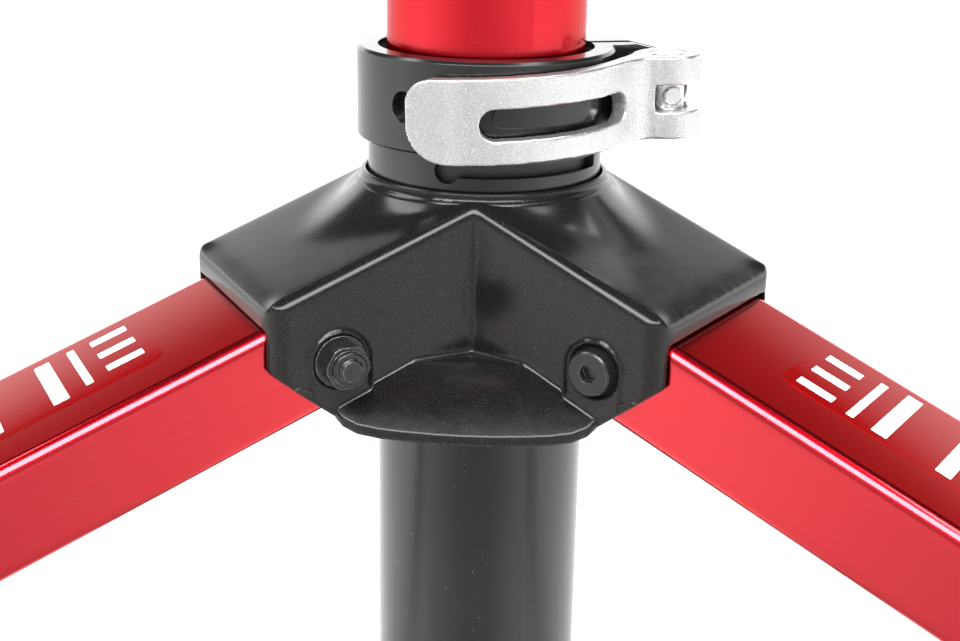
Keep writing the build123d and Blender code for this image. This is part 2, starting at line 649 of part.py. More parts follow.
with BuildPart() as cam_saddle:
    with BuildSketch(clamp_level(STUD_HEIGHT - SADDLE_HEIGHT / 2)):
        with Locations((STUD_REACH, -EAR_FRONT)):
            Rectangle(SADDLE_WIDTH, SADDLE_DEPTH, align=(Align.CENTER, Align.MAX))
        with Locations(EYE):
            Circle(EYE_RADIUS + GAP, mode=Mode.SUBTRACT)
    extrude(amount=SADDLE_HEIGHT)
    with BuildSketch(clamp_upright(-EAR_FRONT - OVERCUT, STUD_HEIGHT)):
        Circle(STUD_RADIUS + STUD_PLAY)
    extrude(amount=2 * OVERCUT, mode=Mode.SUBTRACT)
tilt(cam_saddle)
save(cam_saddle, "cam_saddle")

WASHER = 1.0
WASHER_RADIUS = 6.0
WASHER_PLAY = 0.2
ADJUSTER_RADIUS = 6.6
KNURL_CIRCLE = 6.9
KNURL_RADIUS = 0.55
NUT_LENGTH = 6.5
KNURLS = 24

with BuildPart() as stud_washer:
    with BuildSketch(clamp_upright(EAR_REAR, STUD_HEIGHT)):
        Circle(WASHER_RADIUS)
        Circle(STUD_RADIUS + WASHER_PLAY, mode=Mode.SUBTRACT)
    extrude(amount=WASHER)
save(stud_washer, "stud_washer")

with BuildPart() as adjusting_nut:
    with BuildSketch(clamp_upright(EAR_REAR + WASHER, STUD_HEIGHT)):
        Circle(ADJUSTER_RADIUS)
        with PolarLocations(KNURL_CIRCLE, KNURLS):
            Circle(KNURL_RADIUS, mode=Mode.SUBTRACT)
        Circle(STUD_RADIUS + FIT, mode=Mode.SUBTRACT)
    extrude(amount=NUT_LENGTH)
save(adjusting_nut, "adjusting_nut")

# ---------------------------------------------------------------- legs
SHOE_WALL = 3.0
SHOE_START = 586.0
SHOE_END = 4.0
SHOE_ROUND = 2.5
SOLE_START = 598.0
BLOCK_LENGTH = 42.0
BUSH_RADIUS = 4.5
CHANNEL_PLAY = 0.2
BLOCK_SETBACK = 1.0

with BuildPart() as leg_tube:
    with BuildSketch(LEG_SECTION.offset(-LEG_RISE)):
        RectangleRounded(LEG_WIDTH, LEG_HEIGHT, LEG_CORNER)
        RectangleRounded(
            LEG_WIDTH - 2 * LEG_WALL,
            LEG_HEIGHT - 2 * LEG_WALL,
            LEG_CORNER - LEG_WALL,
            mode=Mode.SUBTRACT,
        )
    extrude(amount=LEG_RISE + LEG_LENGTH)
    with BuildSketch(LEG_SIDE):
        Circle(LEG_RISE)
        Rectangle(LEG_LENGTH, LEG_HEIGHT, align=(Align.MIN, Align.CENTER))
    extrude(amount=LEG_WIDTH, both=True, mode=Mode.INTERSECT)
    with BuildSketch(LEG_SIDE):
        Circle(BUSH_RADIUS + SEAT)
    extrude(amount=LEG_WIDTH, both=True, mode=Mode.SUBTRACT)

with BuildPart() as pivot_block:
    with BuildSketch(LEG_SECTION.offset(-LEG_RISE)):
        RectangleRounded(
            LEG_WIDTH - 2 * LEG_WALL - 2 * SEAT,
            LEG_HEIGHT - 2 * LEG_WALL - 2 * SEAT,
            LEG_CORNER - LEG_WALL,
        )
    extrude(amount=LEG_RISE + BLOCK_LENGTH)
    with BuildSketch(LEG_SIDE):
        Circle(LEG_RISE - BLOCK_SETBACK)
        Rectangle(LEG_LENGTH, LEG_HEIGHT, align=(Align.MIN, Align.CENTER))
    extrude(amount=LEG_WIDTH, both=True, mode=Mode.INTERSECT)
    with BuildSketch(LEG_SIDE):
        Circle(BUSH_RADIUS + SEAT)
    extrude(amount=LEG_WIDTH, both=True, mode=Mode.SUBTRACT)

with BuildPart() as pivot_sleeve:
    with BuildSketch(LEG_SIDE):
        Circle(BUSH_RADIUS)
        Circle(BOLT_RADIUS + FIT, mode=Mode.SUBTRACT)
    extrude(amount=LEG_WIDTH / 2 + CHANNEL_PLAY, both=True)

BOLT_HEAD_RADIUS = 5.4
BOLT_HEAD_HEIGHT = 3.7
BOLT_HEAD_CHAMFER = 0.4
BOLT_TIP_CHAMFER = 0.6
SOCKET = 4.0
SOCKET_DEPTH = 2.0
NUT_FLATS = 10.0
NUT_HEIGHT = 4.8
NUT_COLLAR = 1.6
NUT_COLLAR_STEP = 0.8
NUT_ROUND = 0.6
NUT_CORNER = 0.35             # how far the rounded corners stand past the flats
BOLT_TIP = 39.3
HEAD_SEAT = BOSS_HALF - HEAD_RECESS
NUT_SEAT = BOSS_HALF - WASHER_RECESS
PIVOT_WASHER_RADIUS = 6.3
PIVOT_WASHER = 1.2

with BuildPart() as pivot_bolt:
    with BuildSketch(PIVOT_SIDE.offset(HEAD_SEAT)):
        Circle(BOLT_HEAD_RADIUS)
    extrude(amount=BOLT_HEAD_HEIGHT)
    chamfer(pivot_bolt.edges().group_by(Axis.Y)[0], length=BOLT_HEAD_CHAMFER)
    with BuildSketch(PIVOT_SIDE.offset(HEAD_SEAT + BOLT_HEAD_HEIGHT)):
        RegularPolygon(SOCKET / 2, 6, major_radius=False)
    extrude(amount=-SOCKET_DEPTH, mode=Mode.SUBTRACT)
    with BuildSketch(PIVOT_SIDE.offset(HEAD_SEAT)):
        Circle(BOLT_RADIUS)
    extrude(amount=-HEAD_SEAT - BOLT_TIP)
    chamfer(pivot_bolt.edges().group_by(Axis.Y)[-1], length=BOLT_TIP_CHAMFER)

with BuildPart() as pivot_washer:
    with BuildSketch(PIVOT_SIDE.offset(-NUT_SEAT)):
        Circle(PIVOT_WASHER_RADIUS)
        Circle(BOLT_RADIUS + WASHER_PLAY, mode=Mode.SUBTRACT)
    extrude(amount=-PIVOT_WASHER)

with BuildPart() as pivot_nut:
    with BuildSketch(PIVOT_SIDE.offset(-NUT_SEAT - PIVOT_WASHER)):
        RegularPolygon(NUT_FLATS / 2, 6, major_radius=False)
    extrude(amount=-NUT_HEIGHT)
    with BuildSketch(ARM_SIDE):
        with Locations((PIVOT_RADIUS, -PIVOT_DROP)):
            Circle(NUT_FLATS / 2 + NUT_CORNER)
    extrude(amount=-SECTOR_REACH, mode=Mode.INTERSECT)
    with BuildSketch(PIVOT_SIDE.offset(-NUT_SEAT - PIVOT_WASHER - NUT_HEIGHT)):
        Circle(NUT_FLATS / 2 - NUT_COLLAR_STEP)
    extrude(amount=-NUT_COLLAR)
    fillet(pivot_nut.edges().group_by(Axis.Y)[-1], radius=NUT_ROUND)
    with BuildSketch(PIVOT_SIDE.offset(-NUT_SEAT)):
        Circle(BOLT_RADIUS + SEAT)
    extrude(amount=-SECTOR_REACH, mode=Mode.SUBTRACT)

with BuildPart() as leg_shoe:
    with BuildSketch(LEG_SECTION.offset(SHOE_START)):
        RectangleRounded(LEG_WIDTH + 2 * SHOE_WALL, LEG_HEIGHT + 2 * SHOE_WALL, LEG_CORNER + SHOE_WALL)
    extrude(amount=LEG_LENGTH + SHOE_END - SHOE_START)
    fillet(leg_shoe.faces().sort_by(Axis.X)[-1].edges(), radius=SHOE_ROUND)
    with BuildSketch(LEG_SECTION.offset(SHOE_START)):
        RectangleRounded(LEG_WIDTH + 2 * SEAT, LEG_HEIGHT + 2 * SEAT, LEG_CORNER)
    extrude(amount=LEG_LENGTH - SHOE_START, mode=Mode.SUBTRACT)

SOLE_FACE = LEG_RISE + SHOE_WALL
SOLE_HALF_WIDTH = 24.0
SOLE_HEEL = 4.0               # how far the sole's inner face leans outwards
SOLE_TOE = 1.0


def leg_point(along, rise):
    """Point of the leg's side view, as distance from the column axis and height against the ring."""
    reach = PIVOT_RADIUS + along * cos(SLOPE) + rise * sin(SLOPE)
    return (reach, -PIVOT_DROP - along * sin(SLOPE) + rise * cos(SLOPE))


with BuildPart() as leg_sole:
    with BuildSketch(ARM_SIDE):
        inner = leg_point(SOLE_START, -SOLE_FACE)
        outer = leg_point(LEG_LENGTH + SOLE_TOE, -SOLE_FACE)
        toe = (outer[0] - SOLE_TOE, -HUB_TOP)
        heel = (inner[0] + SOLE_HEEL, -HUB_TOP)
        Polygon(inner, outer, toe, heel, align=None)
    extrude(amount=SOLE_HALF_WIDTH, both=True)

for side, turn in LEG_TURNS.items():
    for piece, master in (
        ("leg_tube", leg_tube),
        ("leg_pivot_block", pivot_block),
        ("leg_pivot_sleeve", pivot_sleeve),
        ("leg_shoe", leg_shoe),
        ("leg_sole", leg_sole),
        ("pivot_bolt", pivot_bolt),
        ("pivot_washer", pivot_washer),
        ("pivot_nut", pivot_nut),
    ):
        with BuildPart() as placed:
            add(master.part, rotation=(0, 0, turn))
        save(placed, f"{side}_{piece}")

# ---------------------------------------------------------------- jaw head
MAST_TOP = MAST_BOTTOM + MAST_LENGTH
CUP_BOTTOM = 795.0
CUP_RADIUS = 31.0
CUP_TOP = 866.0
BARREL_RADIUS = 27.0
BARREL_HALF = 42.0
HEAD_ROUND = 1.5
NECK_TAPER = 14.0             # degrees
NECK_OVERLAP = 8.0
LOCK_BOSS_RADIUS = 11.0
LOCK_BOSS_PROUD = 6.0
SHAFT_RADIUS = 17.0
SHAFT_WALL = 4.0
SHAFT_REAR = 50.0
SHAFT_FRONT = -108.0
FLANGE_RADIUS = 24.0
PLATE_REAR = -112.0
PLATE_THICKNESS = 14.0
PAD_THICKNESS = 12.0
JAW_OPENING = 60.0
BEAM_X = 41.0
BEAM_WIDTH = 14.0
BEAM_HEIGHT = 32.0
BEAM_END = -264.0
JAW_WIDTH = 54.0
JAW_HEIGHT = 68.0
JAW_PLATE = 12.0
SHOE_HALF = 21.0
SHOE_EDGE = 53.5
SHOE_ROOT = 10.0
SCREW_RADIUS = 8.0
SCREW_NECK = 6.0
KEEPER = 2.0
JAW_TRAVEL = 55.0
KNOB_RADIUS = 28.0
KNOB_LENGTH = 24.0
KNOB_END = 6.0
KNOB_GAP = 2.0
LOCK_REACH = 38.0
LOCK_RADIUS = 4.0
LOCK_GRIP = 13.0              # how deep the lock screw sits in its knob
LOCK_KNOB_RADIUS = 19.0
LOCK_KNOB_LENGTH = 18.0
FIXING_HEIGHTS = (812.0, 842.0)
FIXING_HEAD_RADIUS = 5.0
FIXING_HEAD_HEIGHT = 5.0
FIXING_SOCKET = 5.0
FIXING_SOCKET_DEPTH = 3.0
FIXING_PLAY = 0.1
CAP_LIP = 5.0
CAP_ROUND = 3.0
PLATE_ROUND = 9.0
BEAM_ROUND = 3.0
END_WIDTH = 18.0
END_HEIGHT = 38.0
PAD_INSET = 2.0
PAD_ROUND = 6.0
GROOVE_HALF = 13.0
GROOVE_SHARE = 0.6            # depth of the pad's groove as a share of its thickness
JAW_ROUND = 8.0
THRUST_RADIUS = 14.0
THRUST_LENGTH = 10.0
SHOE_LENGTH = 26.0
SCREW_SEAT = 3.7              # how far the screw's nose enters the sliding jaw
SCREW_SEAT_PLAY = 0.3
SCREW_CHAMFER = 0.8
KEEPER_RADIUS = 13.0

PAD_FACE = PLATE_REAR - PLATE_THICKNESS - PAD_THICKNESS
SLIDING_FACE = PAD_FACE - JAW_OPENING
SLIDING_BACK = SLIDING_FACE - PAD_THICKNESS - JAW_PLATE
KEEPER_FACE = SLIDING_BACK - THRUST_LENGTH
KNOB_FACE = BEAM_END - JAW_TRAVEL - KNOB_GAP


def head_front(y):
    """Upright plane across the head's turning axis, its normal towards the front."""
    return Plane(origin=(0, y, HEAD_AXIS), x_dir=(1, 0, 0), z_dir=(0, -1, 0))


def head_rear(y, height):
    """Upright plane across the mast, its normal towards the rear."""
    return Plane(origin=(0, y, height), x_dir=(-1, 0, 0), z_dir=(0, 1, 0))


def head_side(x):
    """Upright plane beside the head, its normal along +X."""
    return Plane(origin=(x, 0, HEAD_AXIS), x_dir=(0, 1, 0), z_dir=(1, 0, 0))


with BuildPart() as head_casting:
    with BuildSketch(Plane.XY.offset(CUP_BOTTOM)):
        Circle(CUP_RADIUS)
    extrude(amount=CUP_TOP - CUP_BOTTOM)
    fillet(head_casting.edges().group_by(Axis.Z)[0], radius=HEAD_ROUND)
    with BuildSketch(Plane.XY.offset(CUP_TOP)):
        Circle(CUP_RADIUS)
    extrude(amount=HEAD_AXIS - CUP_TOP - NECK_OVERLAP, taper=NECK_TAPER)
    with BuildSketch(head_front(BARREL_HALF)):
        Circle(BARREL_RADIUS)
    extrude(amount=2 * BARREL_HALF)
    with BuildSketch(head_side(0)):
        Circle(LOCK_BOSS_RADIUS)
    extrude(amount=BARREL_RADIUS + LOCK_BOSS_PROUD)
    for barrel_end in (Axis.Y, -Axis.Y):
        rim = head_casting.edges().filter_by(GeomType.CIRCLE).group_by(barrel_end)[-1]
        fillet(rim, radius=HEAD_ROUND)
    with BuildSketch(Plane.XY.offset(CUP_BOTTOM - OVERCUT)):
        Circle(MAST_RADIUS + SEAT)
    extrude(amount=MAST_TOP - CUP_BOTTOM + OVERCUT, mode=Mode.SUBTRACT)
    with BuildSketch(head_front(BARREL_HALF + OVERCUT)):
        Circle(SHAFT_RADIUS + FIT)
    extrude(amount=2 * (BARREL_HALF + OVERCUT), mode=Mode.SUBTRACT)
    with BuildSketch(head_side(SHAFT_RADIUS - OVERCUT)):
        Circle(LOCK_RADIUS + FIT)
    extrude(amount=BARREL_RADIUS, mode=Mode.SUBTRACT)
    for height in FIXING_HEIGHTS:
        with BuildSketch(head_rear(MAST_RADIUS - OVERCUT, height)):
            Circle(BOLT_RADIUS + SEAT)
        extrude(amount=CUP_RADIUS - MAST_RADIUS + 2 * OVERCUT, mode=Mode.SUBTRACT)
save(head_casting, "head_casting")

with BuildPart() as head_fixing_screws:
    for height in FIXING_HEIGHTS:
        with BuildSketch(head_rear(MAST_RADIUS + FIXING_PLAY, height)):
            Circle(BOLT_RADIUS)
        extrude(amount=CUP_RADIUS - MAST_RADIUS)
        with BuildSketch(head_rear(CUP_RADIUS, height)):
            Circle(FIXING_HEAD_RADIUS)
        extrude(amount=FIXING_HEAD_HEIGHT)
        with BuildSketch(head_rear(CUP_RADIUS + FIXING_HEAD_HEIGHT, height)):
            RegularPolygon(FIXING_SOCKET / 2, 6, major_radius=False)
        extrude(amount=-FIXING_SOCKET_DEPTH, mode=Mode.SUBTRACT)
save(head_fixing_screws, "head_fixing_screws")

with BuildPart() as swivel_shaft:
    with BuildSketch(head_front(SHAFT_REAR)):
        Circle(SHAFT_RADIUS)
        Circle(SHAFT_RADIUS - SHAFT_WALL, mode=Mode.SUBTRACT)
    extrude(amount=SHAFT_REAR - SHAFT_FRONT)
save(swivel_shaft, "swivel_shaft")

with BuildPart() as shaft_end_cap:
    with BuildSketch(head_front(SHAFT_REAR + CAP_LIP)):
        Circle(FLANGE_RADIUS)
    extrude(amount=SHAFT_REAR + CAP_LIP - BARREL_HALF - GAP)
    fillet(shaft_end_cap.edges().group_by(Axis.Y)[-1], radius=CAP_ROUND)
    with BuildSketch(head_front(SHAFT_REAR)):
        Circle(SHAFT_RADIUS + SEAT)
    extrude(amount=BARREL_HALF, mode=Mode.SUBTRACT)
save(shaft_end_cap, "shaft_end_cap")

with BuildPart() as jaw_frame:
    with BuildSketch(head_front(-BARREL_HALF - GAP)):
        Circle(FLANGE_RADIUS)
    extrude(amount=-PLATE_REAR - BARREL_HALF - GAP)
    with BuildSketch(head_front(PLATE_REAR)):
        with Locations(((BEAM_X + BEAM_WIDTH / 2 - JAW_WIDTH / 2) / 2, 0)):
            RectangleRounded(BEAM_X + BEAM_WIDTH / 2 + JAW_WIDTH / 2, JAW_HEIGHT, PLATE_ROUND)
    extrude(amount=PLATE_THICKNESS)
    with BuildSketch(head_front(PLATE_REAR - OVERCUT)):
        with Locations((BEAM_X, 0)):
            RectangleRounded(BEAM_WIDTH, BEAM_HEIGHT, BEAM_ROUND)
    extrude(amount=PLATE_REAR - OVERCUT - BEAM_END)
    with BuildSketch(head_front(BEAM_END + PLATE_THICKNESS)):
        with Locations(((BEAM_X + BEAM_WIDTH / 2 - END_WIDTH) / 2, 0)):
            RectangleRounded(BEAM_X + BEAM_WIDTH / 2 + END_WIDTH, END_HEIGHT, PLATE_ROUND)
    extrude(amount=PLATE_THICKNESS)
    with BuildSketch(head_front(0)):
        Circle(SHAFT_RADIUS + SEAT)
    extrude(amount=-SHAFT_FRONT, mode=Mode.SUBTRACT)
    with BuildSketch(head_front(BEAM_END + PLATE_THICKNESS + OVERCUT)):
        Circle(SCREW_RADIUS + FIT)
    extrude(amount=PLATE_THICKNESS + 2 * OVERCUT, mode=Mode.SUBTRACT)
save(jaw_frame, "jaw_frame")


def jaw_pad(face, towards_front):
    """Rubber pad with an upright V groove; the face looks to the front or to the rear."""
    depth = PAD_THICKNESS if towards_front else -PAD_THICKNESS
    with BuildPart() as pad:
        with BuildSketch(head_front(face)):
            RectangleRounded(JAW_WIDTH - 2 * PAD_INSET, JAW_HEIGHT - 2 * PAD_INSET, PAD_ROUND)
        extrude(amount=-depth)
        with BuildSketch(Plane.XY.offset(HEAD_AXIS - JAW_HEIGHT)):
            bottom = (0, face + GROOVE_SHARE * depth)
            Polygon((-GROOVE_HALF, face), (GROOVE_HALF, face), bottom, align=None)
        extrude(amount=2 * JAW_HEIGHT, mode=Mode.SUBTRACT)
    return pad


fixed_jaw_pad = jaw_pad(PAD_FACE, True)
save(fixed_jaw_pad, "fixed_jaw_pad")
sliding_jaw_pad = jaw_pad(SLIDING_FACE, False)
save(sliding_jaw_pad, "sliding_jaw_pad")

with BuildPart() as sliding_jaw:
    with BuildSketch(head_front(SLIDING_FACE - PAD_THICKNESS)):
        RectangleRounded(JAW_WIDTH, JAW_HEIGHT, JAW_ROUND)
    extrude(amount=JAW_PLATE)
    with BuildSketch(head_front(SLIDING_BACK)):
        Circle(THRUST_RADIUS)
    extrude(amount=SLIDING_BACK - KEEPER_FACE)
    with BuildSketch(head_front(SLIDING_FACE - PAD_INSET)):
        with Locations(((JAW_WIDTH / 2 - PAD_INSET / 2 + SHOE_EDGE) / 2, 0)):
            RectangleRounded(SHOE_EDGE - JAW_WIDTH / 2 + PAD_INSET / 2, 2 * SHOE_HALF, BEAM_ROUND)
    extrude(amount=SHOE_LENGTH)
    with BuildSketch(head_front(SLIDING_FACE - PAD_THICKNESS)):
        with Locations(((SHOE_ROOT + SHOE_EDGE) / 2, 0)):
            RectangleRounded(SHOE_EDGE - SHOE_ROOT, 2 * SHOE_HALF, BEAM_ROUND)
    extrude(amount=JAW_PLATE)
    with BuildSketch(head_front(SLIDING_FACE + OVERCUT)):
        with Locations((BEAM_X, 0)):
            RectangleRounded(BEAM_WIDTH + 2 * GAP, BEAM_HEIGHT + 2 * GAP, BEAM_ROUND)
    extrude(amount=2 * SHOE_LENGTH, mode=Mode.SUBTRACT)
    with BuildSketch(head_front(SLIDING_BACK + SCREW_SEAT + SCREW_SEAT_PLAY)):
        Circle(SCREW_RADIUS + FIT)
    extrude(amount=THRUST_LENGTH + SCREW_SEAT + OVERCUT, mode=Mode.SUBTRACT)
save(sliding_jaw, "sliding_jaw")

with BuildPart() as screw_keeper:
    with BuildSketch(head_front(KEEPER_FACE)):
        Circle(KEEPER_RADIUS)
        Circle(SCREW_NECK + FIT, mode=Mode.SUBTRACT)
    extrude(amount=KEEPER)
save(screw_keeper, "screw_keeper")

with BuildPart() as clamp_screw:
    with BuildSketch(head_front(SLIDING_BACK + SCREW_SEAT)):
        Circle(SCREW_RADIUS)
    extrude(amount=SLIDING_BACK + SCREW_SEAT - KNOB_FACE + KNOB_LENGTH - KNOB_END)
    chamfer(clamp_screw.edges(), length=SCREW_CHAMFER)
    with BuildSketch(head_front(KEEPER_FACE + GAP)):
        Circle(SCREW_RADIUS + OVERCUT)
        Circle(SCREW_NECK, mode=Mode.SUBTRACT)
    extrude(amount=KEEPER + 2 * GAP, mode=Mode.SUBTRACT)
save(clamp_screw, "clamp_screw")

HOLLOW_CIRCLE = 1.22          # finger hollows of the knobs, as shares of the knob's radius
HOLLOW_RADIUS = 0.42
HOLLOW_ROUND = 0.08


def lobed_knob(plane, radius, length, bore, bore_depth, lobes):
    """Hand knob with finger hollows around its edge and a blind bore from its near face."""
    with BuildPart() as knob:
        with BuildSketch(plane) as outline:
            Circle(radius)
            with PolarLocations(radius * HOLLOW_CIRCLE, lobes):
                Circle(radius * HOLLOW_RADIUS, mode=Mode.SUBTRACT)
            fillet(outline.vertices(), radius=radius * HOLLOW_ROUND)
        extrude(amount=length)
        with BuildSketch(plane):
            Circle(bore)
        extrude(amount=bore_depth, mode=Mode.SUBTRACT)
    return knob


clamp_knob = lobed_knob(
    head_front(KNOB_FACE), KNOB_RADIUS, KNOB_LENGTH, SCREW_RADIUS + SEAT, KNOB_LENGTH - KNOB_END, 6
)
save(clamp_knob, "clamp_knob")

lock_knob = lobed_knob(
    head_side(LOCK_REACH), LOCK_KNOB_RADIUS, LOCK_KNOB_LENGTH, LOCK_RADIUS + SEAT, LOCK_GRIP, 5
)
save(lock_knob, "lock_knob")

with BuildPart() as lock_screw:
    with BuildSketch(head_side(SHAFT_RADIUS + GAP)):
        Circle(LOCK_RADIUS)
    extrude(amount=LOCK_REACH + LOCK_GRIP - SHAFT_RADIUS - GAP)
save(lock_screw, "lock_screw")
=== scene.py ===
"""Looks of a folding tripod work stand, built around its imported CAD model."""
import json
import math

import bmesh
import bpy
from mathutils import Matrix, Vector


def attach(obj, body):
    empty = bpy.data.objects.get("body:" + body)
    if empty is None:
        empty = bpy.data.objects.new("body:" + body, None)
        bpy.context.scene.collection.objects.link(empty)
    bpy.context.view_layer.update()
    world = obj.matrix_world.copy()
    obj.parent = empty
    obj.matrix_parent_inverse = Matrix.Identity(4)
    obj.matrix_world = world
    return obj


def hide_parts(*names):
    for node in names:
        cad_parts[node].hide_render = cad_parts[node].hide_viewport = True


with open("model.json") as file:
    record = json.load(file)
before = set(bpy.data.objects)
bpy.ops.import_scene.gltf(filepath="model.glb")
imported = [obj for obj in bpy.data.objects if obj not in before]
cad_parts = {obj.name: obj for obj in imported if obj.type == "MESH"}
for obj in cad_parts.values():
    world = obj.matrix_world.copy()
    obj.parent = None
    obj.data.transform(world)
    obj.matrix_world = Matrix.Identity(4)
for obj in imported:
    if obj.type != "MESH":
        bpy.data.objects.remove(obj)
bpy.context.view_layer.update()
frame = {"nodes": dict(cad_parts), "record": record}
nodes = frame["nodes"]
record = frame["record"]

MM = 0.001
SIDES = {"front": -90.0, "rear_right": 30.0, "rear_left": 150.0}
HUB_TOP = 285 * MM
PIVOT_RADIUS = 52 * MM
PIVOT_HEIGHT = HUB_TOP - 35.3 * MM
LEG_SLOPE = math.radians(21)
LEG_HALF_HEIGHT = 12.7 * MM
HEAD_AXIS = 895 * MM
CLAMP_TURN = 77.0             # degrees

# sizes in millimetres
BOLT_RADIUS = 3.0
STUD_RADIUS = 2.5
STUD_REACH = 43.0
STUD_HEIGHT = 21.0
PIN_DISTANCE = 15.9
SCREW_RADIUS = 8.0

# noise scales, in features per metre
BROAD_MOTTLE = 45.0
MID_MOTTLE = 320.0
WEAR_AND_SHEEN_PATCHES = 700.0
DUST_CELLS = 1100.0
DUST_DRIFTS = 260.0
BROAD_TINT = 25.0
WAVES = 55.0
STREAKS = 420.0
SCRATCHES = 900.0

SCRATCH_COLOUR = (0.75, 0.55, 0.55)
DUST_COLOUR = (0.35, 0.34, 0.32)
BEVEL_SAMPLES = 6
THINNING_STEP = 0.05          # length of the step in a thinned rod, in millimetres


def level(angle):
    """Level unit vectors along and across a direction given in degrees."""
    turn = math.radians(angle)
    return Vector((math.cos(turn), math.sin(turn), 0)), Vector((-math.sin(turn), math.cos(turn), 0))


# ---------------------------------------------------------------- node helpers
def shade(tree, kind, inputs=None, **settings):
    """Adds one shader node; inputs are sockets or plain values by socket name or number."""
    made = tree.nodes.new("ShaderNode" + kind)
    for key, value in settings.items():
        setattr(made, key, value)
    for key, value in (inputs or {}).items():
        socket = made.inputs[key]
        if isinstance(value, bpy.types.NodeSocket):
            tree.links.new(value, socket)
        else:
            socket.default_value = value
    return made


def maths(tree, operation, a, b=0.0):
    """Result of one maths node."""
    return shade(tree, "Math", {0: a, 1: b}, operation=operation).outputs[0]


def dotted(tree, direction, fixed):
    """Dot product of a direction with a fixed vector or another socket."""
    return shade(tree, "VectorMath", {0: direction, 1: fixed}, operation="DOT_PRODUCT").outputs["Value"]


def remap(tree, value, low, high, to_low=0.0, to_high=1.0):
    """Value moved from one range to another, clamped."""
    made = shade(tree, "MapRange", {"Value": value})
    made.inputs["From Min"].default_value = low
    made.inputs["From Max"].default_value = high
    made.inputs["To Min"].default_value = to_low
    made.inputs["To Max"].default_value = to_high
    return made.outputs["Result"]


def blend_colour(tree, factor, a, b):
    """Colour mixed from two colours."""
    made = shade(tree, "Mix", data_type="RGBA")
    for index, value in ((0, factor), (6, a), (7, b)):
        if isinstance(value, bpy.types.NodeSocket):
            tree.links.new(value, made.inputs[index])
        elif index == 0:
            made.inputs[index].default_value = value
        else:
            made.inputs[index].default_value = (*value, 1.0)
    return made.outputs[2]


def noise(tree, vector, scale, detail, roughness):
    """Fractal noise of a given scale in features per metre."""
    settings = {"Vector": vector, "Scale": scale, "Detail": detail, "Roughness": roughness}
    return shade(tree, "TexNoise", settings).outputs["Fac"]


def start_material(name):
    """New material with its tree, principled shader and object coordinates."""
    material = bpy.data.materials.new(name)
    material.use_nodes = True
    tree = material.node_tree
    tree.nodes.clear()
    principled = tree.nodes.new("ShaderNodeBsdfPrincipled")
    output = tree.nodes.new("ShaderNodeOutputMaterial")
    tree.links.new(principled.outputs[0], output.inputs["Surface"])
    place = shade(tree, "TexCoord").outputs["Object"]
    return material, tree, principled, place


def edge_mask(tree, radius):
    """1 on convex and concave edges narrower than a radius, 0 on flats."""
    rounded = shade(tree, "Bevel", {"Radius": radius}, samples=BEVEL_SAMPLES).outputs["Normal"]
    flat = shade(tree, "NewGeometry").outputs["Normal"]
    turned_away = maths(tree, "SUBTRACT", 1.0, dotted(tree, rounded, flat))
    return remap(tree, turned_away, 0.02, 0.35)


def bumps(tree, layers, rounding=0.0):
    """Chain of bump nodes from (height socket, strength, distance), over a rounded-edge normal."""
    normal = None
    if rounding:
        normal = shade(tree, "Bevel", {"Radius": rounding}, samples=BEVEL_SAMPLES).outputs["Normal"]
    for height, strength, distance in layers:
        made = shade(tree, "Bump", {"Height": height, "Strength": strength, "Distance": distance})
        if normal is not None:
            tree.links.new(normal, made.inputs["Normal"])
        normal = made.outputs["Normal"]
    return normal


